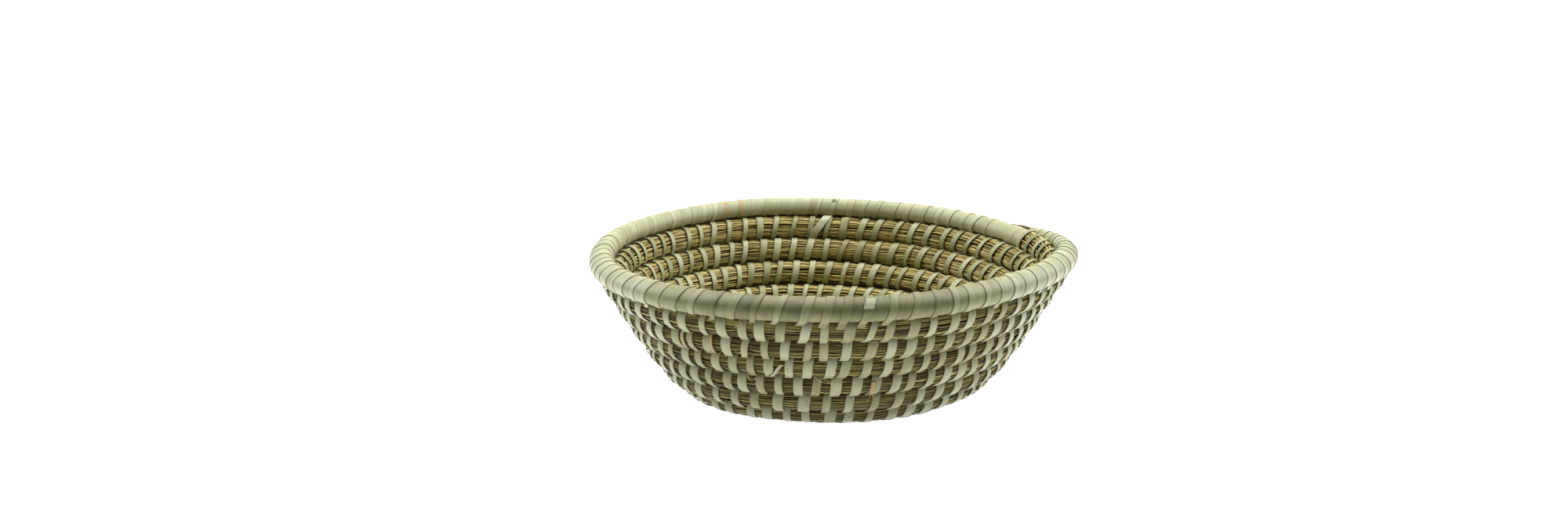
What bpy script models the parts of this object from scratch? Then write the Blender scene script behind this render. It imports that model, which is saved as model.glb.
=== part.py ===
"""Coiled grass basket: one spiral bundle of grass, sewn row to row with flat strips, and a bound rim.

The grass bundle runs as one spiral from a knot at the middle of the base, out over the slightly domed base,
round the turned-up foot and up the flaring wall. Its last turn is the rim, which is bound closely and tapers
down on the row below it. A flat strip winds round each row and through the slots on both sides of it.
Lengths are in metres, +Z is up, and the origin is at the middle of the box round the basket, on the table.
"""

import bisect
import math

import bmesh
import bpy
import numpy as np

# The grass bundle, its section measured along the wall and through the wall
BUNDLE_WIDTH = 0.0125
BUNDLE_DEPTH = 0.0130
SECTION_SHARES = ((1.0, 0.0), (0.5, -1.0), (-0.5, -1.0), (-1.0, 0.0), (-0.5, 1.0), (0.5, 1.0))

# The sewing strips
STRIP_WIDTH = 0.0054
STRIP_THICKNESS = 0.0005
CLEARANCE = 0.0003

# Under a stitch that is near the table the bundle is drawn in. At the foot, which rests on the table, this is
# how much of the room between two stitches slopes, as a share. The rest of it is level
FOOT_SLOPE_SHARE = 0.25

# The shape of the bowl, along a line from its axis to its rim. Turns of the bundle set its width and height
BASE_TURNS = 5.073
BASE_DOME = 0.0030
TURN_UP_LENGTH = 0.0137
WALL_SLOPE = math.radians(58.5)
WALL_TURNS = 7.26

# The rim
RIM_END_ANGLE = math.radians(34.0)
RIM_TAPER_TURNS = 0.15
RIM_TIP_SHARE = 0.28
RIM_STEP_TURNS = 0.10

# The ends of strips that hang out under the front of the rim
TAIL_MIDDLE_ANGLE = math.radians(274.0)
TAIL_FACETS = 2
TAIL_SIDE_SHARES = (-0.33, 0.33)
TAIL_LENGTH_SHARES = (0.45, 0.85, 0.60, 0.30)
TAIL_TIP_SHARE = 0.45

# The stitches of the small rows next to the knot, as shares of a full row's. A shorter row joins the next one
FIRST_STITCH_SHARES = (0.5, 0.5)
SHORTEST_ROW_SHARE = 1 / 3

# The knot at the start, and the turn that the bundle leaves it at
FIRST_TURN_SHARE = 0.95
KNOT_DEPTH = 0.0110
KNOT_LEVEL_SHARES = ((0.80, -1.0), (1.0, -0.5), (1.0, 0.5), (0.80, 1.0))

# Counts
STATIONS_PER_TURN = 24
MERIDIAN_STEPS = 1200

# Names for the corners of the section that the strip passes
TOP, INNER_TOP, INNER_BOTTOM, BOTTOM, OUTER_BOTTOM, OUTER_TOP = range(6)

# Worked out from the values above
CORNER_STRETCH = math.hypot(BUNDLE_DEPTH, BUNDLE_WIDTH / 2) / BUNDLE_DEPTH
STRIP_ROOM = (STRIP_THICKNESS + CLEARANCE) * CORNER_STRETCH
ROW_SLOT = STRIP_ROOM + CLEARANCE * CORNER_STRETCH
ROW_PITCH = BUNDLE_WIDTH + ROW_SLOT
FLOOR_ROOM = STRIP_THICKNESS + 2 * CLEARANCE
BASE_RADIUS = BASE_TURNS * ROW_PITCH
END_TURN = BASE_TURNS + WALL_TURNS
RIM_TURN = END_TURN - 1
START_TURN = END_TURN - math.floor((END_TURN - FIRST_TURN_SHARE) * STATIONS_PER_TURN) / STATIONS_PER_TURN
ROW_COUNT = math.ceil(RIM_TURN - START_TURN - SHORTEST_ROW_SHARE)
ROW_STARTS = tuple(RIM_TURN - ROW_COUNT + row for row in range(ROW_COUNT))

GRASS = ("dry_grass", (0.42, 0.33, 0.15, 1.0), 0.80)
STRIP = ("palm_strip", (0.62, 0.60, 0.45, 1.0), 0.62)


def smooth(value):
    """A rise from 0 to 1 that starts and ends level."""
    value = min(max(value, 0.0), 1.0)
    return value * value * (3.0 - 2.0 * value)


def bowl_line():
    """Tables of the distance along the bowl's line past the base, its slope, radius and height."""
    length = (WALL_TURNS + 1) * ROW_PITCH
    along = np.linspace(0.0, length, MERIDIAN_STEPS)
    slope = WALL_SLOPE * (1.0 - np.exp(-along / TURN_UP_LENGTH))
    step = np.diff(along)
    middle = (slope[1:] + slope[:-1]) / 2
    radius = BASE_RADIUS + np.concatenate([[0.0], np.cumsum(np.cos(middle) * step)])
    height = np.concatenate([[0.0], np.cumsum(np.sin(middle) * step)])
    return along, slope, radius, height


BOWL_LINE = bowl_line()


def bowl_point(distance):
    """The radius, height and slope of the bundle's middle at a distance past the edge of the base."""
    if distance >= 0:
        along, slopes, radii, heights = BOWL_LINE
        radius = np.interp(distance, along, radii)
        height = np.interp(distance, along, heights)
        return radius, height + BUNDLE_DEPTH / 2, np.interp(distance, along, slopes)
    radius = BASE_RADIUS + distance
    dome_radius = BASE_RADIUS - ROW_PITCH
    share = min(radius / dome_radius, 1.0)
    slope = -2 * BASE_DOME * share / dome_radius if share < 1 else 0.0
    return radius, BASE_DOME * (1 - share * share) + BUNDLE_DEPTH / 2, math.atan(slope)


def taper(turn):
    """The size of the bundle at a turn, as a share of its full size: it narrows at the rim's end."""
    return 1 - (1 - RIM_TIP_SHARE) * smooth((turn - END_TURN + RIM_TAPER_TURNS) / RIM_TAPER_TURNS)


def distance_at(turn):
    """How far along the bowl's line the bundle has come, past the edge of the base."""
    distance = (turn - BASE_TURNS) * ROW_PITCH
    for step_end in (RIM_TURN, END_TURN):
        distance += STRIP_ROOM * smooth((turn - step_end + RIM_STEP_TURNS) / RIM_STEP_TURNS)
    return distance - BUNDLE_WIDTH / 2 * (1 - taper(turn))


def flat_section(turn, floor):
    """The corners of the bundle at a turn, as radius and height, kept above a floor."""
    radius, height, slope = bowl_point(distance_at(turn))
    size = taper(turn) / 2
    corners = []
    for along, through in SECTION_SHARES:
        along *= BUNDLE_WIDTH * size
        through *= BUNDLE_DEPTH * size
        corner_radius = radius + along * math.cos(slope) + through * math.sin(slope)
        corner_height = height + along * math.sin(slope) - through * math.cos(slope)
        corners.append((corner_radius, max(corner_height, floor)))
    return corners


def grown(corners, growth):
    """The same convex outline with every side moved outwards by a distance."""
    corners = np.array(corners)
    sides = np.roll(corners, -1, axis=0) - corners
    normals = np.stack([sides[:, 1], -sides[:, 0]], axis=1)
    normals /= np.linalg.norm(normals, axis=1, keepdims=True)
    if np.sum(normals * (corners - corners.mean(axis=0))) < 0:
        normals = -normals
    moved = []
    for index, corner in enumerate(corners):
        pair = np.array([normals[index - 1], normals[index]])
        moved.append(np.linalg.solve(pair, pair @ corner + growth))
    return np.array(moved)


def angle_at(turn):
    """The direction of the bundle's middle from the axis at a turn."""
    return RIM_END_ANGLE + (turn - END_TURN) * math.tau


def chord(turn):
    """The length of one straight facet of the bundle at a turn."""
    return 2 * bowl_point(distance_at(turn))[0] * math.sin(math.pi / STATIONS_PER_TURN)


def strip_width(turn):
    """The width of the strip at a turn: it is split finer for the tight rows of the base."""
    return min(STRIP_WIDTH, chord(turn) / 2 - 2 * CLEARANCE)


def strip_lean(turn):
    """How far the strip moves on along the row as it crosses the outside."""
    return strip_width(turn) + 2 * CLEARANCE


def stitch_middles(row):
    """The turns at the middles of a row's stitches, each in the middle of a facet of the bundle."""
    share = FIRST_STITCH_SHARES[row] if row < len(FIRST_STITCH_SHARES) else 1
    count = round(STATIONS_PER_TURN * share)
    first_index = 0 if row else math.floor((START_TURN - ROW_STARTS[0]) * count)
    offset = ROW_STARTS[row] + 0.5 / STATIONS_PER_TURN
    middles = [offset + index / count for index in range(first_index, count)]
    return [middle for middle in middles if middle > START_TURN]


def place(corners, turn, centre):
    """Turns corners given as radius and height into points round the axis."""
    angle = angle_at(turn)
    radii, heights = np.array(corners).T
    return np.stack([radii * math.cos(angle), radii * math.sin(angle), heights], axis=1) - centre


def measured_centre():
    """The middle of the box round the bound rim, so that the basket can be centred on the origin."""
    points = []
    for index in range(STATIONS_PER_TURN + 1):
        turn = RIM_TURN + index / STATIONS_PER_TURN
        outline = grown(flat_section(turn, 0.0), CLEARANCE + STRIP_THICKNESS)
        points.append(place(outline, turn, np.zeros(3)))
    points = np.concatenate(points)
    middle = (points.min(axis=0) + points.max(axis=0)) / 2
    return np.array([middle[0], middle[1], 0.0])


CENTRE = measured_centre()


def coil_stations():
    """Turns and sections of the whole bundle. Under a stitch that is near the table it is drawn in."""
    count = round((END_TURN - START_TURN) * STATIONS_PER_TURN)
    turns = [START_TURN + index / STATIONS_PER_TURN for index in range(count + 1)]
    stations = {turn: place(flat_section(turn, 0.0), turn, CENTRE) for turn in turns}
    for row in range(ROW_COUNT):
        for middle in stitch_middles(row):
            heights = sorted(height for _, height in flat_section(middle, 0.0))
            if heights[0] >= FLOOR_ROOM:
                continue
            index = bisect.bisect(turns, middle) - 1
            ends = stations[turns[index]], stations[turns[index + 1]]
            half_notch = strip_lean(middle) / 2 + strip_width(middle) / 2 + CLEARANCE
            cuts = [(half_notch, FLOOR_ROOM)]
            if heights[1] < CLEARANCE:
                slope_length = (chord(middle) / 2 - half_notch) * FOOT_SLOPE_SHARE
                cuts.append((half_notch + slope_length, 0.0))
            for reach, floor in cuts:
                reach_turns = reach / chord(middle) / STATIONS_PER_TURN
                for turn in (middle - reach_turns, middle + reach_turns):
                    share = (turn - turns[index]) * STATIONS_PER_TURN
                    section = ends[0] * (1 - share) + ends[1] * share
                    section[:, 2] = np.maximum(section[:, 2], floor)
                    stations[turn] = section
    turns = sorted(stations)
    return turns, [stations[turn] for turn in turns]


COIL_TURNS, COIL_SECTIONS = coil_stations()


def skin_point(turn, corner, growth):
    """A point a distance off one corner of the faceted bundle, anywhere along it."""
    index = min(max(bisect.bisect(COIL_TURNS, turn) - 1, 0), len(COIL_TURNS) - 2)
    start, end = COIL_TURNS[index], COIL_TURNS[index + 1]
    share = (turn - start) / (end - start)
    points = COIL_SECTIONS[index] * (1 - share) + COIL_SECTIONS[index + 1] * share + CENTRE
    radii = np.hypot(points[:, 0], points[:, 1])
    outline = grown(np.stack([radii, points[:, 2]], axis=1), growth)
    direction = points[corner, :2] / radii[corner]
    return np.array([*(direction * outline[corner, 0]), outline[corner, 1]]) - CENTRE


def make_object(name, mesh_data, material):
    """Puts a finished bmesh in the scene as one named object with its own material."""
    bmesh.ops.recalc_face_normals(mesh_data, faces=mesh_data.faces)
    mesh = bpy.data.meshes.new(name)
    mesh_data.to_mesh(mesh)
    mesh_data.free()
    mesh.shade_smooth()
    mesh.set_sharp_from_angle(angle=math.radians(40))
    label, colour, roughness = material
    look = bpy.data.materials.new(f"{name}_{label}")
    look.use_nodes = True
    shader = look.node_tree.nodes["Principled BSDF"]
    shader.inputs["Base Color"].default_value = colour
    shader.inputs["Roughness"].default_value = roughness
    shader.inputs["Metallic"].default_value = 0.0
    mesh.materials.append(look)
    result = bpy.data.objects.new(name, mesh)
    bpy.context.collection.objects.link(result)
    return result


def add_tube(mesh_data, rings):
    """Joins rings of points into one tube, and returns its first and last ring of vertices."""
    loops = [[mesh_data.verts.new(point) for point in ring] for ring in rings]
    for loop, following in zip(loops, loops[1:]):
        for index in range(len(loop)):
            before = index - 1
            mesh_data.faces.new((loop[before], loop[index], following[index], following[before]))
    return loops[0], loops[-1]


def capped_tube(name, rings, material):
    """One closed body along rings of points."""
    mesh_data = bmesh.new()
    first, last = add_tube(mesh_data, rings)
    mesh_data.faces.new(reversed(first))
    mesh_data.faces.new(last)
    return make_object(name, mesh_data, material)


def report_gap(name, rings, apart):
    """Prints the least distance between points of a tube that lie several rings apart."""
    points = np.concatenate(rings)
    owner = np.repeat(np.arange(len(rings)), [len(ring) for ring in rings])
    least = math.inf
    for index, ring in enumerate(rings):
        others = points[owner >= index + apart]
        if len(others):
            distances = np.linalg.norm(others[:, None] - np.array(ring)[None], axis=2)
            least = min(least, distances.min())
    print(f"{name}: least gap to itself {least * 1000:.2f} mm")


def make_grass_coil():
    """The one unbroken bundle, from the knot to the tip of the rim."""
    report_gap("grass_coil", COIL_SECTIONS, STATIONS_PER_TURN // 2)
    return capped_tube("grass_coil", COIL_SECTIONS, GRASS)


def make_start_knot():
    """The knot that the bundle starts from. It fills the first turn, and its tail meets the bundle."""
    middle_height = bowl_point(distance_at(START_TURN))[1]
    rings = []
    for size, level in KNOT_LEVEL_SHARES:
        ring = []
        for index in range(STATIONS_PER_TURN + 1):
            turn = START_TURN + index / STATIONS_PER_TURN
            angle = angle_at(turn)
            if index == STATIONS_PER_TURN:
                angle -= CLEARANCE / ROW_PITCH
            radius = (bowl_point(distance_at(turn))[0] - BUNDLE_WIDTH / 2 - ROW_SLOT) * size
            height = middle_height + level * KNOT_DEPTH / 2
            ring.append(np.array([radius * math.cos(angle), radius * math.sin(angle), height]) - CENTRE)
        rings.append(ring)
    return capped_tube("start_knot", rings, GRASS)


def strip_ring(turn, corner, width):
    """Three points across the strip where it passes a corner of the bundle."""
    half = width / 2 / chord(turn) / STATIONS_PER_TURN
    return [
        skin_point(turn - half, corner, CLEARANCE),
        skin_point(turn, corner, CLEARANCE + STRIP_THICKNESS),
        skin_point(turn + half, corner, CLEARANCE),
    ]


def strip_rings(row):
    """The strip of one row: up the outside, through the slot, down the inside and through the slot below."""
    rings = []
    middles = stitch_middles(row)
    spacing_turns = middles[1] - middles[0]
    for middle in middles:
        facet = chord(middle)
        width = strip_width(middle)
        lean = strip_lean(middle) / facet / STATIONS_PER_TURN
        room = (facet / 2 - width / 2 - CLEARANCE) / facet / STATIONS_PER_TURN - lean / 2
        drift = max(min((spacing_turns - lean) / 3, room), 0.0)
        rings.append(strip_ring(middle - lean / 2, BOTTOM, width))
        rings.append(strip_ring(middle - lean / 6, OUTER_BOTTOM, width))
        rings.append(strip_ring(middle + lean / 6, OUTER_TOP, width))
        rings.append(strip_ring(middle + lean / 2, TOP, width))
        if middle != middles[-1]:
            rings.append(strip_ring(middle + lean / 2 + drift, INNER_TOP, width))
            rings.append(strip_ring(middle + spacing_turns - lean / 2 - drift, INNER_BOTTOM, width))
    return rings


def make_sewing_strips():
    """One strip for each turn of the bundle below the rim, numbered from the base outwards."""
    strips = []
    for row in range(ROW_COUNT):
        name = f"sewing_strip_{row + 1:02d}"
        rings = strip_rings(row)
        report_gap(name, rings, 4)
        strips.append(capped_tube(name, rings, STRIP))
    return strips


def make_strip_tails():
    """The loose ends of strips: out of the slot under the rim and a little way down the row below."""
    tails = []
    facets_back = round((RIM_END_ANGLE + math.tau - TAIL_MIDDLE_ANGLE) / math.tau * STATIONS_PER_TURN)
    first_turn = RIM_TURN - (facets_back + TAIL_FACETS / 2) / STATIONS_PER_TURN
    for index, length_share in enumerate(TAIL_LENGTH_SHARES):
        facet, side = divmod(index, len(TAIL_SIDE_SHARES))
        turn = first_turn + (facet + 0.5 + TAIL_SIDE_SHARES[side]) / STATIONS_PER_TURN
        upper = np.array(strip_ring(turn, OUTER_TOP, STRIP_WIDTH))
        lower = np.array(strip_ring(turn, OUTER_BOTTOM, STRIP_WIDTH * TAIL_TIP_SHARE))
        tip = upper * (1 - length_share) + lower * length_share
        rings = [strip_ring(turn, TOP, STRIP_WIDTH), list(upper), list(tip)]
        tails.append(capped_tube(f"strip_tail_{index + 1:02d}", rings, STRIP))
    return tails


def make_rim_binding():
    """The close binding of the last turn: a thin tube round the bundle, open at both ends."""
    inner = []
    outer = []
    for index in range(STATIONS_PER_TURN + 1):
        turn = RIM_TURN + index / STATIONS_PER_TURN
        section = flat_section(turn, 0.0)
        inner.append(place(grown(section, CLEARANCE), turn, CENTRE))
        outer.append(place(grown(section, CLEARANCE + STRIP_THICKNESS), turn, CENTRE))
    mesh_data = bmesh.new()
    inner_ends = add_tube(mesh_data, inner)
    outer_ends = add_tube(mesh_data, outer)
    for inside, outside in zip(inner_ends, outer_ends):
        for index in range(len(inside)):
            before = index - 1
            mesh_data.faces.new((inside[before], inside[index], outside[index], outside[before]))
    return make_object("rim_binding", mesh_data, STRIP)


def clear_scene():
    """Empties the scene of whatever it starts with."""
    for item in list(bpy.data.objects):
        bpy.data.objects.remove(item)


def main():
    clear_scene()
    make_start_knot()
    make_grass_coil()
    make_sewing_strips()
    make_strip_tails()
    make_rim_binding()


main()
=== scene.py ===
"""The looks of a coiled sweetgrass basket: its grass stems, its sewing strips, its bound rim and the studio.

One bundle of grass stems runs in a spiral from a knot at the middle of the base to the tip of the rim. Flat
palm strips wind round each turn of it and sew it to the turn below, and closely laid strips bind the last
turn. Lengths are in metres and +Z is up. The spiral follows the same formulas as the solid model, but its
rows are moved a little, to where the photograph shows them.
"""

import logging
import math
from collections.abc import Callable, Iterable, Sequence
from dataclasses import dataclass, fields, replace
from enum import Enum
from typing import ClassVar

import bpy
import numpy as np
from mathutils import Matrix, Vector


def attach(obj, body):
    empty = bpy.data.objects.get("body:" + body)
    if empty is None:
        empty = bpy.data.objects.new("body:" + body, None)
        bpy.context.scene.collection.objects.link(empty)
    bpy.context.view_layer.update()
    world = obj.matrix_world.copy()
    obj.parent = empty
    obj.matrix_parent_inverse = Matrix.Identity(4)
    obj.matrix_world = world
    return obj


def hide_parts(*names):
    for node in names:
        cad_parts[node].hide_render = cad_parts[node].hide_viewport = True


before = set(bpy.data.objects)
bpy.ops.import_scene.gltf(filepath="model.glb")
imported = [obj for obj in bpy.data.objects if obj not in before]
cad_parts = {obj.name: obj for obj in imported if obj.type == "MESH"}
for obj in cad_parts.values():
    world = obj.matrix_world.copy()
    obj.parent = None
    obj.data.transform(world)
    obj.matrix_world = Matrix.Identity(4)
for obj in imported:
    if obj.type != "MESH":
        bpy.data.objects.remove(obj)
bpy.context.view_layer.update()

LOG = logging.getLogger("basket")
PHOTO_WIDTH = 2000
PHOTO_HEIGHT = 669

Triple = tuple[float, float, float]


class Slot(Enum):
    """The record's material slots."""

    GRASS = "dry_grass"
    STRIP = "palm_strip"


def smooth(value: np.ndarray | float) -> np.ndarray:
    """A rise from 0 to 1 that starts and ends level."""
    value = np.clip(value, 0.0, 1.0)
    return value * value * (3.0 - 2.0 * value)


@dataclass(frozen=True)
class BasketSizes:
    """The driving sizes of the basket, as in the solid model.

    The rises and the drop say how much higher or lower the photograph's rows lie than the model's, and over
    how many turns.
    """
    bundle_width: float = 0.0125
    bundle_depth: float = 0.0130
    strip_thickness: float = 0.0005
    clearance: float = 0.0003
    base_turns: float = 5.073
    base_dome: float = 0.0030
    turn_up_length: float = 0.0137
    wall_slope: float = math.radians(58.5)
    wall_turns: float = 7.26
    rim_end_angle: float = math.radians(34.0)
    rim_taper_turns: float = 0.15
    rim_tip_share: float = 0.28
    rim_step_turns: float = 0.10
    rim_rise: float = 0.0012
    rim_rise_turns: float = 0.3
    rim_start_rise: float = 0.0008
    rim_start_turns: float = 0.15
    tip_drop: float = 0.0032
    row_rises: tuple[float, ...] = (-0.0002, -0.0002, 0.0012, 0.0024, 0.0025, 0.0027)
    knot_turn: float = 0.36
    knot_share: float = 0.60
    knot_turns: float = 0.80
    axis_x: float = -0.000262
    axis_y: float = 0.001792

    @property
    def corner_stretch(self) -> float:
        """How much longer the way over a corner of the bundle is."""
        return math.hypot(self.bundle_depth, self.bundle_width / 2) / self.bundle_depth

    @property
    def strip_room(self) -> float:
        """The room that a strip takes between two rows."""
        return (self.strip_thickness + self.clearance) * self.corner_stretch

    @property
    def row_pitch(self) -> float:
        """The distance from one row to the next along the wall."""
        return self.bundle_width + self.strip_room + self.clearance * self.corner_stretch

    @property
    def base_radius(self) -> float:
        """The radius at which the base ends."""
        return self.base_turns * self.row_pitch

    @property
    def end_turn(self) -> float:
        """The turn at which the rim ends."""
        return self.base_turns + self.wall_turns

    @property
    def rim_turn(self) -> float:
        """The turn at which the rim begins."""
        return self.end_turn - 1


@dataclass
class Stretch:
    """Places along the bundle: its middle, the ways up and out of the wall, and its size as a share."""

    place: np.ndarray
    middle: np.ndarray
    wall: np.ndarray
    face: np.ndarray
    size: np.ndarray


class Spiral:
    """The spiral that the middle of the grass bundle follows.

    The waves say how far hand sewing has moved the rows up the wall and out of it. Each has its height, its
    count round the basket and its shift.
    """

    SAMPLES_PER_TURN = 240
    TABLE_STEPS = 2400
    TIP_TURNS = 0.004
    UP_WAVES = ((0.00035, 3, 1.1), (0.00025, 7, 0.4))
    OUT_WAVES = ((0.00045, 2, 0.6), (0.00030, 5, 2.2))

    def __init__(self, sizes: BasketSizes) -> None:
        """Works out the line of the bowl and the length along the spiral.

        Args:
            sizes: The driving sizes of the basket.
        """
        self.sizes = sizes
        length = (sizes.wall_turns + 1) * sizes.row_pitch
        self.along = np.linspace(0.0, length, self.TABLE_STEPS)
        self.slopes = sizes.wall_slope * (1.0 - np.exp(-self.along / sizes.turn_up_length))
        step = np.diff(self.along)
        middle = (self.slopes[1:] + self.slopes[:-1]) / 2
        self.radii = sizes.base_radius + np.concatenate([[0.0], np.cumsum(np.cos(middle) * step)])
        self.heights = np.concatenate([[0.0], np.cumsum(np.sin(middle) * step)])
        last_turn = sizes.end_turn + self.TIP_TURNS
        count = round((last_turn - sizes.knot_turn) * self.SAMPLES_PER_TURN)
        self.turns = np.linspace(sizes.knot_turn, last_turn, count)
        points = self.middles(self.turns)[0]
        steps = np.linalg.norm(np.diff(points, axis=0), axis=1)
        self.places = np.concatenate([[0.0], np.cumsum(steps)])

    def taper(self, turn: np.ndarray) -> np.ndarray:
        """The size of the bundle at a turn, as a share: it narrows at the tip of the rim."""
        sizes = self.sizes
        share = (turn - sizes.end_turn + sizes.rim_taper_turns) / sizes.rim_taper_turns
        return 1 - (1 - sizes.rim_tip_share) * smooth(share)

    def knot_size(self, turn: np.ndarray) -> np.ndarray:
        """The size of the bundle at a turn, as a share: it is drawn in at the start."""
        sizes = self.sizes
        return sizes.knot_share + (1 - sizes.knot_share) * smooth((turn - sizes.knot_turn) / sizes.knot_turns)

    def distance(self, turn: np.ndarray) -> np.ndarray:
        """How far along the bowl's line the bundle has come, past the edge of the base.

        Args:
            turn: The turns.

        Returns:
            The distance at each turn, below zero on the base.
        """
        sizes = self.sizes
        distance = (turn - sizes.base_turns) * sizes.row_pitch
        for step_end in (sizes.rim_turn, sizes.end_turn):
            rise = (turn - step_end + sizes.rim_step_turns) / sizes.rim_step_turns
            distance = distance + sizes.strip_room * smooth(rise)
        distance = distance + sizes.bundle_width / 2 * (1 - self.knot_size(turn))
        return distance - sizes.bundle_width / 2 * (1 - self.taper(turn))

    def bowl_point(self, distance: np.ndarray) -> tuple[np.ndarray, np.ndarray, np.ndarray]:
        """The bowl's line at distances past the edge of the base.

        Args:
            distance: Distances along the line, below zero on the base.

        Returns:
            The radius, the height and the slope of the bundle's middle.
        """
        sizes = self.sizes
        dome_radius = sizes.base_radius - sizes.row_pitch
        share = np.clip((sizes.base_radius + distance) / dome_radius, 0.0, 1.0)
        on_base = distance < 0
        radius = np.where(on_base, sizes.base_radius + distance, np.interp(distance, self.along, self.radii))
        dome = sizes.base_dome * (1 - share * share)
        height = np.where(on_base, dome, np.interp(distance, self.along, self.heights))
        dome_slope = np.arctan(np.where(share < 1, -2 * sizes.base_dome * share / dome_radius, 0.0))
        slope = np.where(on_base, dome_slope, np.interp(distance, self.along, self.slopes))
        return radius, height + sizes.bundle_depth / 2, slope

    def angle(self, turn: np.ndarray) -> np.ndarray:
        """The direction from the axis at a turn."""
        return self.sizes.rim_end_angle + (turn - self.sizes.end_turn) * math.tau

    def row_place(self, row: int, degrees: float) -> float:
        """The place at an angle on a row, counted down from the rim, which is row 0."""
        return float(self.place_at(self.turn_at_angle(self.sizes.rim_turn - row, degrees)))

    def turn_at_angle(self, row: float, degrees: float) -> float:
        """The turn of the row that starts at a turn, where it passes an angle."""
        share = (math.radians(degrees) - self.sizes.rim_end_angle) / math.tau
        return row + share % 1.0

    def middles(self, turn: np.ndarray) -> tuple[np.ndarray, np.ndarray, np.ndarray]:
        """The bundle's middle at turns.

        Args:
            turn: The turns.

        Returns:
            The middle points, the directions up the wall, and the directions out of it.
        """
        radius, height, slope = self.bowl_point(self.distance(turn))
        angle = self.angle(turn)
        outwards = np.stack([np.cos(angle), np.sin(angle), np.zeros_like(angle)], axis=1)
        upwards = np.array([0.0, 0.0, 1.0])
        wall = outwards * np.cos(slope)[:, None] + upwards * np.sin(slope)[:, None]
        face = outwards * np.sin(slope)[:, None] - upwards * np.cos(slope)[:, None]
        on_wall = smooth(self.distance(turn) / self.sizes.row_pitch)
        middle = outwards * radius[:, None] + upwards * height[:, None]
        up = (self.waves(angle, self.UP_WAVES) + self.rise(turn)) * on_wall
        out = self.waves(angle, self.OUT_WAVES)
        middle += wall * up[:, None] + face * (out * on_wall)[:, None]
        middle += np.array([self.sizes.axis_x, self.sizes.axis_y, 0.0])
        return middle, wall, face

    def rise(self, turn: np.ndarray) -> np.ndarray:
        """How much higher up the wall the row at a turn lies than in the plain spiral.

        Args:
            turn: The turns.

        Returns:
            The rise at each turn.
        """
        sizes = self.sizes
        row_middles = sizes.rim_turn - 0.5 - np.arange(len(sizes.row_rises))[::-1]
        rise = np.interp(turn, row_middles, sizes.row_rises, left=0.0)
        to_rim = smooth((turn - sizes.rim_turn + sizes.rim_start_turns) / sizes.rim_start_turns)
        rise = rise + (sizes.rim_start_rise - rise) * to_rim
        rise = rise + (sizes.rim_rise - rise) * smooth((turn - sizes.rim_turn) / sizes.rim_rise_turns)
        tip_share = (1 - self.taper(turn)) / (1 - sizes.rim_tip_share)
        return rise - (sizes.tip_drop + rise) * tip_share

    def waves(self, angle: np.ndarray, parts: Iterable[Triple]) -> np.ndarray:
        """The sum of waves round the basket, each given by its height, its count and its shift."""
        return sum(height * np.sin(count * angle + shift) for height, count, shift in parts)

    def place_at(self, turn: np.ndarray | float) -> np.ndarray:
        """The length along the spiral at a turn."""
        return np.interp(turn, self.turns, self.places)

    def stretch(self, first_turn: float, last_turn: float, step: float) -> Stretch:
        """Places a step apart along part of the bundle.

        Args:
            first_turn: Where the part starts.
            last_turn: Where it ends.
            step: The distance between two places.

        Returns:
            The places, with the bundle's middle, directions and size at each.
        """
        first, last = self.place_at(first_turn), self.place_at(last_turn)
        place = np.linspace(first, last, max(round((last - first) / step), 2) + 1)
        turn = np.interp(place, self.places, self.turns)
        middle, wall, face = self.middles(turn)
        return Stretch(place, middle, wall, face, self.taper(turn) * self.knot_size(turn))

    def whole(self) -> Stretch:
        """The whole spiral at its own samples, so that lengths along its mesh are places."""
        middle, wall, face = self.middles(self.turns)
        size = self.taper(self.turns) * self.knot_size(self.turns)
        return Stretch(self.places, middle, wall, face, size)

def operator(operation: str, swapped: bool = False) -> Callable[["Term", "Feed"], "Term"]:
    """The method that joins a value in a node tree to another one.

    Args:
        operation: The operation's name in a Math node.
        swapped: Whether the other value comes first.

    Returns:
        The method.
    """

    def method(self: "Term", other: "Feed") -> "Term":
        """The result of the operation."""
        pair = (other, self) if swapped else (self, other)
        return self.tree.combine(operation, *pair)

    return method


class Term:
    """A value inside a node tree. Plain arithmetic on it adds the nodes."""

    def __init__(self, tree: "Tree", socket: bpy.types.NodeSocket) -> None:
        """Keeps the tree and the socket that the value comes from.

        Args:
            tree: The tree that the value is in.
            socket: The output socket that gives it.
        """
        self.tree = tree
        self.socket = socket

    @property
    def is_vector(self) -> bool:
        """Whether the value has three parts."""
        return self.socket.type in {"VECTOR", "RGBA"}

    __add__ = operator("ADD")
    __radd__ = operator("ADD", swapped=True)
    __sub__ = operator("SUBTRACT")
    __rsub__ = operator("SUBTRACT", swapped=True)
    __mul__ = operator("MULTIPLY")
    __rmul__ = operator("MULTIPLY", swapped=True)
    __truediv__ = operator("DIVIDE")
    __rtruediv__ = operator("DIVIDE", swapped=True)


Feed = Term | bpy.types.NodeSocket | bpy.types.ID | float | int | str | bool | tuple


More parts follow.
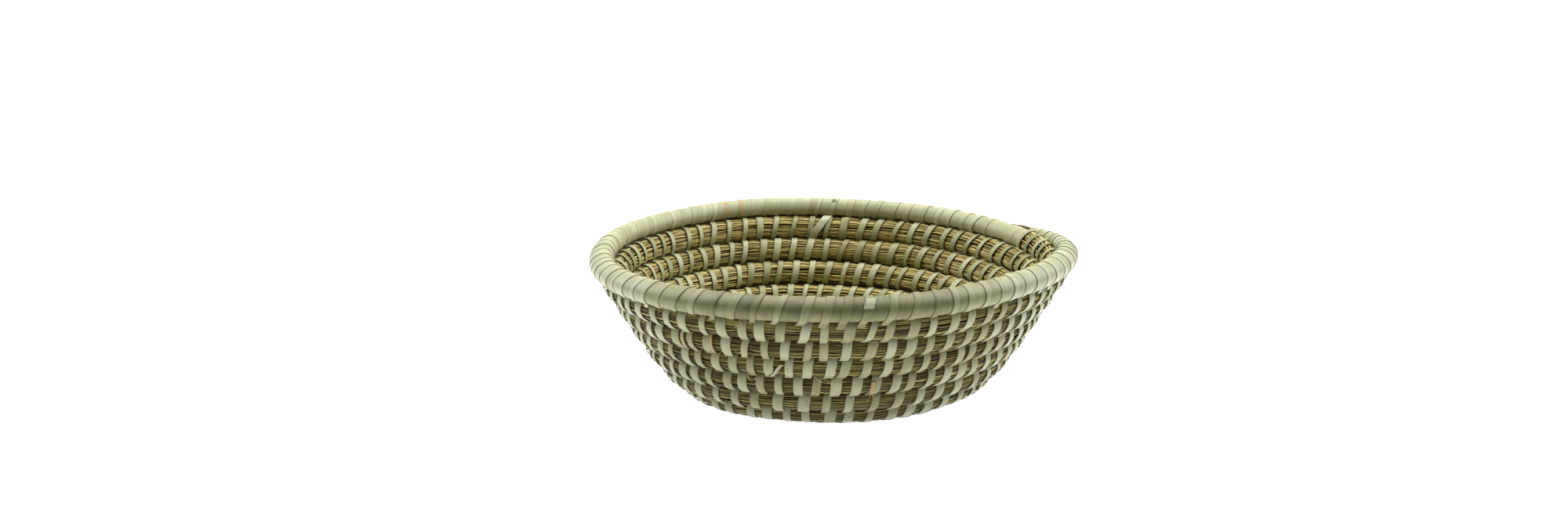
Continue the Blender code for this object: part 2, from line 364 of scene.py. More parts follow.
class Tree:
    """A node tree with named inputs and outputs, and short ways to add nodes."""

    def __init__(self, nodes: bpy.types.NodeTree, is_group: bool = False) -> None:
        """Wraps a tree that exists.

        Args:
            nodes: The tree.
            is_group: Whether it gets nodes for named inputs and outputs of its own.
        """
        self.nodes = nodes
        self.entry = nodes.nodes.new("NodeGroupInput") if is_group else None
        self.exit = nodes.nodes.new("NodeGroupOutput") if is_group else None

    @classmethod
    def new(cls, name: str, kind: str) -> "Tree":
        """An empty node group of a kind."""
        return cls(bpy.data.node_groups.new(name, kind), is_group=True)

    def takes(self, name: str, kind: str, default: Feed | None = None) -> Term:
        """Adds a named input.

        Args:
            name: The input's name.
            kind: The kind of its socket, without the word NodeSocket.
            default: Its value when nothing is given.

        Returns:
            The value that comes in.
        """
        item = self.nodes.interface.new_socket(name=name, in_out="INPUT", socket_type="NodeSocket" + kind)
        if default is not None:
            item.default_value = default
        found = [socket for socket in self.entry.outputs if socket.identifier == item.identifier]
        return Term(self, found[0])

    def gives(self, name: str, kind: str, value: Feed) -> None:
        """Adds a named output and feeds it.

        Args:
            name: The output's name.
            kind: The kind of its socket, without the word NodeSocket.
            value: What it gives.
        """
        item = self.nodes.interface.new_socket(name=name, in_out="OUTPUT", socket_type="NodeSocket" + kind)
        found = [socket for socket in self.exit.inputs if socket.identifier == item.identifier]
        self.feed(found[0], value)

    def feed(self, socket: bpy.types.NodeSocket, value: Feed) -> None:
        """Links a value to an input socket, or sets it there.

        Args:
            socket: The input socket.
            value: The value.
        """
        if isinstance(value, Term):
            self.nodes.links.new(value.socket, socket)
        elif isinstance(value, bpy.types.NodeSocket):
            self.nodes.links.new(value, socket)
        else:
            socket.default_value = value

    def fill(self, node: bpy.types.Node, feeds: dict[str, Feed]) -> None:
        """Feeds inputs of a node by name, also those that it doesn't show yet."""
        for name, value in feeds.items():
            self.feed(node.inputs[name], value)

    def use(self, group: bpy.types.NodeTree, feeds: dict[str, Feed]) -> bpy.types.Node:
        """Adds a node group and feeds its named inputs."""
        node = self.add(group.bl_idname.replace("NodeTree", "NodeGroup"), None, node_tree=group)
        self.fill(node, feeds)
        return node

    def add(self, kind: str, feeds: dict | None = None, **settings: object) -> bpy.types.Node:
        """Adds one node.

        Args:
            kind: The node's type name.
            feeds: What goes into its inputs, by name, identifier or number.
            settings: The node's own properties.

        Returns:
            The node.
        """
        node = self.nodes.nodes.new(kind)
        for name, value in settings.items():
            setattr(node, name, value)
        for key, value in (feeds or {}).items():
            if isinstance(key, int):
                socket = node.inputs[key]
            else:
                matches = [one for one in node.inputs if one.identifier == key]
                matches += [one for one in node.inputs if one.name == key and one.enabled]
                socket = matches[0]
            self.feed(socket, value)
        return node

    def result(self, node: bpy.types.Node, name: str | None = None) -> Term:
        """The named output of a node, or its first enabled one."""
        for socket in node.outputs:
            if socket.enabled and name in (None, socket.name, socket.identifier):
                return Term(self, socket)
        raise KeyError(name)

    def math(self, operation: str, *values: Feed) -> Term:
        """The result of a Math node."""
        node = self.add("ShaderNodeMath", dict(enumerate(values)), operation=operation)
        return self.result(node)

    def vector(self, operation: str, *values: Feed) -> Term:
        """The result of a Vector Math node."""
        node = self.add("ShaderNodeVectorMath", dict(enumerate(values)), operation=operation)
        return self.result(node)

    def combine(self, operation: str, first: Feed, second: Feed) -> Term:
        """Adds, subtracts, multiplies or divides numbers and vectors.

        Args:
            operation: The operation's name in a Math node.
            first: The first value.
            second: The second one.

        Returns:
            The result, which is a vector where one of the two is.
        """
        first_vector = isinstance(first, tuple) or (isinstance(first, Term) and first.is_vector)
        second_vector = isinstance(second, tuple) or (isinstance(second, Term) and second.is_vector)
        if not first_vector and not second_vector:
            return self.math(operation, first, second)
        if operation == "MULTIPLY" and first_vector != second_vector:
            vector, number = (first, second) if first_vector else (second, first)
            node = self.add("ShaderNodeVectorMath", {0: vector, 3: number}, operation="SCALE")
            return self.result(node)
        return self.vector(operation, first, second)

    def ramp(self, value: Feed, low: Feed, high: Feed, to_low: Feed = 0.0, to_high: Feed = 1.0) -> Term:
        """A smooth rise between two values.

        Args:
            value: What is compared.
            low: Where the rise starts.
            high: Where it ends.
            to_low: The result below the rise.
            to_high: The result above it.

        Returns:
            The risen value.
        """
        feeds = {0: value, 1: low, 2: high, 3: to_low, 4: to_high}
        return self.result(self.add("ShaderNodeMapRange", feeds, interpolation_type="SMOOTHSTEP"))

    def join(self, x: Feed, y: Feed, z: Feed) -> Term:
        """A vector of three numbers."""
        return self.result(self.add("ShaderNodeCombineXYZ", {0: x, 1: y, 2: z}))

    def split(self, vector: Feed) -> tuple[Term, Term, Term]:
        """The three numbers of a vector."""
        node = self.add("ShaderNodeSeparateXYZ", {0: vector})
        return Term(self, node.outputs[0]), Term(self, node.outputs[1]), Term(self, node.outputs[2])

    def mix(self, share: Feed, first: Feed, second: Feed) -> Term:
        """A number between two numbers."""
        feeds = {"Factor_Float": share, "A_Float": first, "B_Float": second}
        node = self.add("ShaderNodeMix", feeds, data_type="FLOAT", clamp_factor=False)
        return Term(self, node.outputs[0])

    def blend(self, share: Feed, first: Feed, second: Feed, way: str = "MIX") -> Term:
        """A colour between two colours."""
        feeds = {"Factor_Float": share, "A_Color": first, "B_Color": second}
        node = self.add("ShaderNodeMix", feeds, data_type="RGBA", blend_type=way)
        return Term(self, node.outputs[2])

    def named(self, name: str, kind: str = "FLOAT") -> Term:
        """A named attribute of the geometry."""
        return self.result(self.add("GeometryNodeInputNamedAttribute", {"Name": name}, data_type=kind))

    def keep(self, geometry: Feed, name: str, value: Feed, kind: str = "FLOAT_VECTOR") -> Term:
        """Stores a value on the points of a geometry under a name."""
        feeds = {"Geometry": geometry, "Name": name, "Value": value}
        node = self.add("GeometryNodeStoreNamedAttribute", feeds, data_type=kind, domain="POINT")
        return Term(self, node.outputs[0])

    def noise(self, place: Feed, scale: Feed, detail: float) -> Term:
        """Soft noise from 0 to 1."""
        feeds = {"Vector": place, "Scale": scale, "Detail": detail}
        return self.result(self.add("ShaderNodeTexNoise", feeds))

    def chance(self, place: Feed) -> tuple[Term, Term, Term]:
        """Three random numbers from 0 to 1 for each place."""
        node = self.add("ShaderNodeTexWhiteNoise", {"Vector": place})
        return self.split(Term(self, node.outputs["Color"]))


@dataclass(frozen=True)
class Section:
    """The outline of the bundle: half its width along the wall, half its depth, and the power that rounds it.

    The power is 1 for an ellipse and less for a squarer outline.
    """

    half_width: Feed
    half_depth: Feed
    roundness: Feed
    NAMES: ClassVar[tuple[str, ...]] = ("Half Width", "Half Depth", "Roundness")

    @classmethod
    def taken(cls, tree: Tree) -> "Section":
        """The section that comes in through three inputs of a tree."""
        return cls(*(tree.takes(name, "Float") for name in cls.NAMES))

    def feeds(self) -> dict[str, Feed]:
        """The three values, by the names of their inputs."""
        return dict(zip(self.NAMES, (self.half_width, self.half_depth, self.roundness)))


def section_group() -> bpy.types.NodeTree:
    """The node group that gives a point on the outline of the bundle.

    Returns:
        The group. Its angle is zero at the outside of the wall and a quarter turn at the top of the row.
    """
    tree = Tree.new("bundle_outline", "GeometryNodeTree")
    angle = tree.takes("Angle", "Float")
    section = Section.taken(tree)
    for name, operation, half in (("Up", "SINE", section.half_width), ("Out", "COSINE", section.half_depth)):
        wave = tree.math(operation, angle)
        bent = tree.math("SIGN", wave) * tree.math("POWER", tree.math("ABSOLUTE", wave), section.roundness)
        tree.gives(name, "Float", bent * half)
    return tree.nodes


def outline_point(tree: Tree, angle: Feed, section: Section) -> tuple[Term, Term]:
    """Adds the outline group to a tree.

    Args:
        tree: The tree that needs it.
        angle: The angle round the bundle.
        section: The bundle's outline.

    Returns:
        How far the point lies up the wall and out of it.
    """
    group = bpy.data.node_groups.get("bundle_outline") or section_group()
    node = tree.use(group, {"Angle": angle} | section.feeds())
    return tree.result(node, "Up"), tree.result(node, "Out")


def finish_geometry(tree: Tree, geometry: Term, finish: Term) -> None:
    """Ends a geometry tree: real meshes, smooth shading and the material.

    Args:
        tree: The tree.
        geometry: What it has made.
        finish: The material.
    """
    real = tree.add("GeometryNodeRealizeInstances", {0: geometry})
    shaded = tree.add("GeometryNodeSetShadeSmooth", {"Geometry": real.outputs[0]})
    dressed = tree.add("GeometryNodeSetMaterial", {"Geometry": shaded.outputs[0], "Material": finish})
    tree.gives("Geometry", "Geometry", tree.result(dressed))


@dataclass(frozen=True)
class StemHabit:
    """How the stems differ from each other.

    Radii, depths and bulges are shares of the stem's radius, sways and shifts are shares of a lane, and waves
    are noise cells to the metre.
    """

    least_length: float = 0.65
    length_spread: float = 0.70
    end_reach: float = 16.0
    dive: float = 1.6
    slow_waves: float = 18.0
    slow_sway: float = 2.4
    quick_waves: float = 80.0
    quick_sway: float = 0.20
    own_shift: float = 0.5
    lane_shift: float = 0.5
    least_radius: float = 0.62
    radius_spread: float = 0.60
    end_radius: float = 0.6
    thin_radius: float = 0.4
    bulge_spread: float = 1.3
    bulge_drop: float = 0.9
    table_gap: float = 0.0007
    patch_waves: float = 14.0


def stem_tree(habit: StemHabit) -> bpy.types.NodeTree:
    """The geometry tree that lays stems of grass side by side along a guide line.

    Args:
        habit: How the stems differ from each other.

    Returns:
        The tree. Each stem follows its own way round the bundle, dives under its neighbours at its ends, and
        is drawn in where a strip passes over it.
    """
    tree = Tree.new("laid_stems", "GeometryNodeTree")
    guide = tree.takes("Guide", "Geometry")
    section = Section.taken(tree)
    count, sides = (tree.takes(name, "Int") for name in ("Stems Around", "Sides"))
    names = ("Stem Radius", "Stem Length", "Wander", "Pinch Depth", "Squeeze", "Seed")
    thickness, length, wander, pinch_depth, squeeze, seed = (tree.takes(name, "Float") for name in names)
    finish = tree.takes("Finish", "Material")

    lines = tree.add("GeometryNodeMeshToCurve", {"Mesh": guide})
    lanes = tree.add("GeometryNodeDuplicateElements", {0: lines.outputs[0], "Amount": count}, domain="SPLINE")
    lane = tree.result(lanes, "Duplicate Index") * 1.0
    place = tree.named("place")
    size = tree.named("size")

    # Where each stem of a lane starts and ends
    lane_a, lane_b, lane_c = tree.chance(tree.join(lane, seed, 3.0))
    own_length = length * (lane_a * habit.length_spread + habit.least_length)
    count_along = place / own_length + lane_b * 10.0
    cell = tree.math("FLOOR", count_along)
    within = tree.math("FRACT", count_along)
    to_end = tree.math("MINIMUM", within, 1.0 - within) * own_length
    out_share = tree.ramp(to_end, 0.0, thickness * habit.end_reach)
    chance_a, chance_b, chance_c = tree.chance(tree.join(lane, cell, seed))
    tone = tree.chance(tree.join(cell, lane, seed + 7.0))[0]

    # How a stem sways round the bundle, and how deep it lies
    slow = tree.noise(tree.join(place * habit.slow_waves, lane * 3.7, seed), 1.0, 1.0) - 0.5
    quick = tree.noise(tree.join(place * habit.quick_waves, lane * 5.3, seed + 2.0), 1.0, 0.0) - 0.5
    sway = (slow * habit.slow_sway + quick * habit.quick_sway) * wander
    sideways = sway + (chance_a - 0.5) * habit.own_shift * out_share
    angle = (lane + 0.5 + (lane_c - 0.5) * habit.lane_shift + sideways) * (math.tau / count)
    outer = tree.math("COSINE", angle) * 0.5 + 0.5
    pinched = tree.mix(outer, tree.named("pinch_in"), tree.named("pinch_out"))
    own_thickness = thickness * (chance_c * habit.radius_spread + habit.least_radius)
    own_thickness = own_thickness * (out_share * (1.0 - habit.end_radius) + habit.end_radius)
    own_thickness = own_thickness * (size * (1.0 - habit.thin_radius) + habit.thin_radius)
    bulge = (chance_b * habit.bulge_spread - habit.bulge_drop) * thickness * out_share
    depth = thickness * habit.dive * (1.0 - out_share) + pinched * pinch_depth + own_thickness - bulge
    narrowed = section.half_width * size - depth - pinched * squeeze
    lying = Section(narrowed, section.half_depth * size - depth, section.roundness)
    up, out = outline_point(tree, angle, lying)
    offset = tree.named("wall", "FLOAT_VECTOR") * up + tree.named("face", "FLOAT_VECTOR") * out
    moved = tree.add("GeometryNodeSetPosition", {"Geometry": tree.result(lanes), "Offset": offset})
    x, y, z = tree.split(tree.result(tree.add("GeometryNodeInputPosition")))
    raised = tree.join(x, y, tree.math("MAXIMUM", z, own_thickness + habit.table_gap))
    feeds = {"Geometry": moved.outputs[0], "Position": raised}
    geometry = tree.add("GeometryNodeSetPosition", feeds).outputs[0]

    # What the material reads
    patch = tree.noise(tree.join(place * habit.patch_waves, lane * 0.11, seed), 1.0, 2.0)
    for name, value in (("tone", tone), ("patch", patch), ("outer", outer)):
        geometry = tree.keep(geometry, name, value, "FLOAT")
    geometry = tree.keep(geometry, "grain", tree.join(place, lane, tone))
    profile = tree.add("GeometryNodeCurvePrimitiveCircle", {"Resolution": sides, "Radius": 1.0})
    tubes = tree.add(
        "GeometryNodeCurveToMesh",
        {"Curve": geometry, "Profile Curve": profile.outputs[0], "Scale": own_thickness, "Fill Caps": True},
    )
    finish_geometry(tree, tree.result(tubes), finish)
    return tree.nodes


@dataclass(frozen=True)
class Strip:
    """One strip that is wound round the bundle. The geometry tree reads its numbers by their names here.

    Attributes:
        width: Its width.
        lean: How far it moves on along the bundle on the outside.
        lean_in: How far it moves on along it on the inside.
        lift: How far it lies off the bundle.
        tone: Its own tone, from 0 for grey to 1 for cream, or 2 for pink.
        strip_place: Where along the bundle it passes the outside.
        cross: How far it moves on as it crosses the top or the bottom.
        flap: How far its lower end hangs below the row, or zero for an end in the slot.
        flap_out: How far out that end is, as a share of half the bundle's depth.
        start: The angle at which it starts, in degrees.
        sweep: The angle that it goes round, in degrees.
    """

    width: float
    lean: float
    lean_in: float
    lift: float
    tone: float
    strip_place: float = 0.0
    cross: float = 0.0
    flap: float = 0.0
    flap_out: float = 0.0
    start: float = -90.0
    sweep: float = 360.0


def column(strips: Sequence[Strip], name: str) -> np.ndarray:
    """One named number of every strip."""
    return np.array([getattr(strip, name) for strip in strips])


def inner_places(strips: Sequence[Strip]) -> np.ndarray:
    """Where along the bundle strips pass its inside."""
    leans = (column(strips, "lean") + column(strips, "lean_in")) / 2
    return column(strips, "strip_place") + leans + column(strips, "cross")


@dataclass(frozen=True)
class StripHabit:
    """How a strip lies: its crossing is a share of a turn, and the gap is to the table, in metres."""

    crossing: float = 0.10
    waves: float = 2.4
    waviness: float = 0.22
    crown: float = 0.12
    table_gap: float = 0.0001
    table_share: float = 0.8


def strip_tree(habit: StripHabit) -> bpy.types.NodeTree:
    """The geometry tree that winds flat strips round the bundle.

    Args:
        habit: How a strip lies.

    Returns:
        The tree. Its points hold one strip each, with the strip's numbers as attributes. The blank is a
        straight strip whose X, Y and Z run from end to end, from edge to edge and from back to front.
    """
    tree = Tree.new("wound_strips", "GeometryNodeTree")
    strips = tree.takes("Strips", "Geometry")
    guide, blank = (tree.takes(name, "Object") for name in ("Guide", "Blank"))
    section = Section.taken(tree)
    names = ("Thickness", "Loop Length", "Bend")
    thickness, loop_length, bend = (tree.takes(name, "Float") for name in names)
    finish = tree.takes("Finish", "Material")

    line = tree.add("GeometryNodeObjectInfo", {"Object": guide})
    curve = tree.add("GeometryNodeMeshToCurve", {"Mesh": tree.result(line, "Geometry")})
    piece = tree.add("GeometryNodeObjectInfo", {"Object": blank})
    feeds = {"Points": strips, "Instance": tree.result(piece, "Geometry")}
    instances = tree.add("GeometryNodeInstanceOnPoints", feeds)
    geometry = tree.add("GeometryNodeRealizeInstances", {0: instances.outputs[0]}).outputs[0]
    along, across, above = tree.split(tree.result(tree.add("GeometryNodeInputPosition")))
    own = {item.name: tree.named(item.name) for item in fields(Strip)}

    # How far a strip has moved on along the bundle at each point of it
    hanging = tree.math("GREATER_THAN", own["flap"], 0.0)
    angle = own["start"] + own["sweep"] * along
    held_angle = own["start"] + own["sweep"] * tree.math("MAXIMUM", along, hanging * bend)
    share = (angle + math.pi / 2) / math.tau
    spans = ((-habit.crossing, 0.0), (0.44, 0.56), (1.0, 1.0 + habit.crossing))
    first, second, third = (tree.ramp(share, low, high) for low, high in spans)
    outside = own["lean"] * (tree.math("MINIMUM", share, 0.5) * 2.0 - 0.5)
    inside = own["lean_in"] * (0.5 - 0.5 * tree.math("COSINE", tree.ramp(share, 0.5, 1.0, 0.0, math.pi)))
    advance = outside + inside + own["cross"] * (first + second + third - 1.0)
    wave = tree.noise(tree.join(along * habit.waves, own["tone"] * 37.0, across), 1.0, 1.0) - 0.5
    place = own["strip_place"] + advance + across * own["width"] * 0.5 * (wave * habit.waviness + 1.0)

    def sample(name: str | None, kind: str = "FLOAT_VECTOR") -> Term:
        """The guide's position at the strip's place, or a named value of the guide there."""
        node = tree.add("GeometryNodeSampleCurve", None, mode="LENGTH", data_type=kind, use_all_curves=False)
        value = {"Value": tree.named(name, kind)} if name else {}
        tree.fill(node, {"Curves": curve.outputs[0], "Length": place} | value)
        return tree.result(node, "Value" if name else "Position")

    # Where the point lies round the bundle, or below the row in a hanging end
    middle = sample(None)
    size = sample("size", "FLOAT")
    rise = own["lift"] + above * (1.0 - across * across * habit.crown) * thickness
    half_width, half_depth = section.half_width * size, section.half_depth * size
    lying = Section(half_width + rise, half_depth + rise, section.roundness)
    up, out = outline_point(tree, held_angle, lying)
    hangs = hanging * tree.math("MAXIMUM", 1.0 - along / bend, 0.0)
    up = tree.mix(hangs, up, -1.0 * (half_width + own["flap"]))
    out = tree.mix(hangs, out, own["flap_out"] * section.half_depth * size + rise)
    x, y, z = tree.split(middle + (sample("wall") * up + sample("face") * out))
    lowest = habit.table_gap + above * thickness * habit.table_share
    position = tree.join(x, y, tree.math("MAXIMUM", z, lowest))

    # What the material reads
    grain = tree.join(across * own["width"] * 0.5, along * loop_length, own["tone"])
    to_edge = (1.0 - tree.math("ABSOLUTE", across)) * own["width"] * 0.5
    for name, value in (("grain", grain), ("edge", tree.join(to_edge, above, along))):
        geometry = tree.keep(geometry, name, value)
    placed = tree.add("GeometryNodeSetPosition", {"Geometry": geometry, "Position": position})
    finish_geometry(tree, tree.result(placed), finish)
    return tree.nodes


Values = dict[str, np.ndarray | Sequence]


def new_object(
    name: str,
    points: np.ndarray,
    edges: Sequence[tuple[int, int]] = (),
    faces: Sequence[tuple[int, ...]] = (),
    values: Values | None = None,
) -> bpy.types.Object:
    """An object with a mesh and named values on its points.

    Args:
        name: The name of the object and of its mesh.
        points: The points.
        edges: Pairs of points that are joined.
        faces: The faces.
        values: Numbers or vectors for the points, by name.

    Returns:
        The object, linked to the scene.
    """
    mesh = bpy.data.meshes.new(name)
    mesh.from_pydata(np.asarray(points).tolist(), list(edges), list(faces))
    for label, numbers in (values or {}).items():
        numbers = np.asarray(numbers, np.float32)
        kind, key = ("FLOAT", "value") if numbers.ndim == 1 else ("FLOAT_VECTOR", "vector")
        layer = mesh.attributes.new(label, kind, "POINT")
        layer.data.foreach_set(key, numbers.ravel())
    result = bpy.data.objects.new(name, mesh)
    bpy.context.scene.collection.objects.link(result)
    return result


def solid_piece(
    name: str,
    points: np.ndarray,
    faces: Sequence[tuple[int, ...]],
    values: Values,
    finish: bpy.types.Material,
) -> bpy.types.Object:
    """A smooth object of closed bodies with a finish.

    Args:
        name: Its name.
        points: Its points.
        faces: Its faces.
        values: Numbers or vectors for the points, by name.
        finish: The material.

    Returns:
        The object, with its faces turned outwards.
    """
    piece = new_object(name, points, faces=faces, values=values)
    piece.data.shade_smooth()
    piece.data.materials.append(finish)
    turn_outwards(piece.data)
    return piece


def guide_object(name: str, stretch: Stretch, extra: Values | None = None) -> bpy.types.Object:
    """A line of points along the bundle that carries its directions and size.

    Args:
        name: The object's name.
        stretch: The places along the bundle.
        extra: More values for the points, by name.

    Returns:
        The object.
    """
    edges = [(index, index + 1) for index in range(len(stretch.middle) - 1)]
    values = {"place": stretch.place, "wall": stretch.wall, "face": stretch.face, "size": stretch.size}
    return new_object(name, stretch.middle, edges, values=values | (extra or {}))


def grow(carrier: bpy.types.Object, tree: bpy.types.NodeTree, settings: dict[str, Feed]) -> bpy.types.Object:
    """Runs a geometry tree on an object and keeps the result as its plain mesh.

    Args:
        carrier: The object that holds the points the tree starts from.
        tree: The geometry tree.
        settings: Values for the tree's inputs, by name.

    Returns:
        The same object with its new mesh and no modifier.
    """
    modifier = carrier.modifiers.new(tree.name, "NODES")
    modifier.node_group = tree
    for item in tree.interface.items_tree:
        if item.item_type == "SOCKET" and item.in_out == "INPUT" and item.name in settings:
            modifier[item.identifier] = settings[item.name]
    graph = bpy.context.evaluated_depsgraph_get()
    made = bpy.data.meshes.new_from_object(carrier.evaluated_get(graph), depsgraph=graph)
    carrier.modifiers.clear()
    carrier.data = made
    turn_outwards(made)
    return carrier


def turn_outwards(mesh: bpy.types.Mesh) -> None:
    """Turns the faces of closed bodies round where their volume is below zero.

    Args:
        mesh: The mesh of the bodies.
    """
    mesh.calc_loop_triangles()
    points = np.empty(len(mesh.vertices) * 3)
    mesh.vertices.foreach_get("co", points)
    corners = np.empty(len(mesh.loop_triangles) * 3, np.int64)
    mesh.loop_triangles.foreach_get("vertices", corners)
    triangles = points.reshape(-1, 3)[corners].reshape(-1, 3, 3)
    volume = np.einsum("ij,ij->i", triangles[:, 0], np.cross(triangles[:, 1], triangles[:, 2])).sum()
    if volume < 0:
        mesh.flip_normals()


def tube_faces(first: int, rings: int, sides: int) -> list[tuple[int, ...]]:
    """The faces of a closed tube of rings of points.

    Args:
        first: The number of its first point.
        rings: How many rings it has.
        sides: How many points are in a ring.

    Returns:
        The faces, with both ends closed.
    """
    faces = []
    for ring in range(rings - 1):
        low = first + ring * sides
        for index in range(sides):
            after = (index + 1) % sides
            faces.append((low + index, low + after, low + sides + after, low + sides + index))
    last = first + (rings - 1) * sides
    faces.append(tuple(first + index for index in reversed(range(sides))))
    faces.append(tuple(last + index for index in range(sides)))
    return faces


def settle(piece: bpy.types.Object, replaced: Iterable[str] = ()) -> None:
    """Makes an object a piece of the basket.

    Args:
        piece: The object.
        replaced: The solid nodes that it stands for.
    """
    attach(piece, "root")
    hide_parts(*replaced)
    piece.data.calc_loop_triangles()
    LOG.info("%s: %d triangles", piece.name, len(piece.data.loop_triangles))


def streak_group() -> bpy.types.NodeTree:
    """The shader group for the fine lines along a fibre.

    Returns:
        The group. Its place has the way across the fibre first, then the way along it.
    """
    tree = Tree.new("fibre_streaks", "ShaderNodeTree")
    place = tree.takes("Place", "Vector")
    fineness = tree.takes("Fineness", "Float")
    stretch = tree.takes("Stretch", "Float")
    across, along, own = tree.split(place)
    fine = tree.join(across * fineness, along * fineness * stretch, own * 91.0)
    broad = tree.join(across * fineness * 0.25, along * fineness * stretch * 0.5, own * 57.0)
    lines = tree.noise(fine, 1.0, 3.0)
    bands = tree.noise(broad, 1.0, 2.0)
    value = tree.mix(0.45, lines, bands)
    tree.gives("Lines", "Float", tree.ramp(value, 0.30, 0.70))
    tree.gives("Bands", "Float", tree.ramp(bands, 0.32, 0.68))
    return tree.nodes


class Surface(Tree):
    """The node tree of a new material, round its Principled shader."""

    def __init__(self, name: str) -> None:
        """Makes the material.

        Args:
            name: Its name.
        """
        self.look = bpy.data.materials.new(name)
        self.look.use_nodes = True
        super().__init__(self.look.node_tree)
        self.shader = self.nodes.nodes["Principled BSDF"]

    def attribute(self, name: str, output: str = "Fac") -> Term:
        """A named attribute of the mesh."""
        return self.result(self.add("ShaderNodeAttribute", None, attribute_name=name), output)

    def streaks(self, place: Feed, fineness: float, stretch: float) -> tuple[Term, Term]:
        """Adds the streak group.

        Args:
            place: The place on the fibre.
            fineness: How many lines there are to the metre, roughly.
            stretch: How much slower the lines change along the fibre.

        Returns:
            The fine lines and the broad bands, from 0 to 1.
        """
        group = bpy.data.node_groups.get("fibre_streaks") or streak_group()
        node = self.use(group, {"Place": place, "Fineness": fineness, "Stretch": stretch})
        return self.result(node, "Lines"), self.result(node, "Bands")

    def colour_ramp(self, value: Feed, stops: Sequence[tuple[float, Triple]]) -> Term:
        """A colour that runs through stops.

        Args:
            value: Where on the ramp the colour is read.
            stops: The place and the colour of each stop.

        Returns:
            The colour.
        """
        node = self.add("ShaderNodeValToRGB", {0: value})
        elements = node.color_ramp.elements
        while len(elements) < len(stops):
            elements.new(1.0)
        for element, (place, colour) in zip(elements, stops):
            element.position = place
            element.color = (*colour, 1.0)
        return self.result(node, "Color")

    def tint(self, colour: Term, cast: Triple) -> Term:
        """A colour times another one."""
        return self.blend(1.0, colour, (*cast, 1.0), "MULTIPLY")

    def shade(self, colour: Term, level: Term) -> Term:
        """A colour times a number."""
        return self.blend(1.0, colour, self.join(level, level, level), "MULTIPLY")

    def finish(
        self, colour: Term, roughness: Feed, specular: float, height: Term, relief: tuple[float, float]
    ) -> bpy.types.Material:
        """Feeds the shader.

        Args:
            colour: The colour.
            roughness: The roughness.
            specular: The specular level.
            height: The height of the fine relief, from 0 to 1.
            relief: The strength and the depth of that relief.

        Returns:
            The finished material.
        """
        strength, depth = relief
        bump = self.add("ShaderNodeBump", {"Strength": strength, "Distance": depth, "Height": height})
        values = (colour, roughness, specular, bump.outputs[0])
        for name, value in zip(("Base Color", "Roughness", "Specular IOR Level", "Normal"), values):
            self.feed(self.shader.inputs[name], value)
        return self.look


@dataclass(frozen=True)
class GrassFinish:
    """Dry grass stems: straw to olive and brown, each with its own tone, greyer on the outside of the wall as
    weathered grass and darker there as painted shade.
    """

    dark: Triple = (0.095, 0.070, 0.018)
    olive: Triple = (0.230, 0.183, 0.050)
    straw: Triple = (0.430, 0.346, 0.112)
    pale: Triple = (0.680, 0.590, 0.280)
    red: Triple = (0.300, 0.130, 0.055)
    red_from: float = 0.988
    red_share: float = 0.60
    # Outside of the wall: greyer as weathered grass, darker and more contrasty as painted shade.
    grey_cast: Triple = (0.88, 0.97, 1.00)
    contrast: float = 0.58
    weathered_contrast: float = 0.38
    patchiness: float = 0.75
    brightness: float = 0.03
    banding: float = 0.18
    weathering: float = 0.335
    roughness: float = 0.50
    specular: float = 0.20

    def material(self) -> bpy.types.Material:
        """The material, built from nodes."""
        tree = Surface("dry_grass_stems")
        tone = tree.attribute("tone")
        patch = tree.attribute("patch")
        place, lane, own = tree.split(tree.attribute("grain", "Vector"))
        lines, bands = tree.streaks(tree.join(lane * 0.01, place, own), 420.0, 0.5)
        # Outside of the wall: weathered grass is greyer there, and its darkening there is painted shade.
        weathered_and_shaded = tree.ramp(tree.attribute("outer"), 0.35, 0.65)
        level = (tone - 0.5) * (weathered_and_shaded * self.weathered_contrast + self.contrast)
        level = level + patch * self.patchiness + self.brightness + bands * self.banding
        level = level - weathered_and_shaded * self.weathering
        stops = ((0.0, self.dark), (0.28, self.olive), (0.58, self.straw), (0.90, self.pale))
        colour = tree.colour_ramp(level, stops)
        reddish = tree.math("GREATER_THAN", own, self.red_from) * self.red_share
        colour = tree.blend(reddish, colour, (*self.red, 1.0))
        colour = tree.blend(weathered_and_shaded, colour, tree.tint(colour, self.grey_cast))
        colour = tree.shade(colour, tree.mix(lines, 0.86, 1.08))
        roughness = tree.mix(lines, self.roughness - 0.10, self.roughness + 0.12)
        return tree.finish(colour, roughness, self.specular, lines, (0.25, 0.0002))


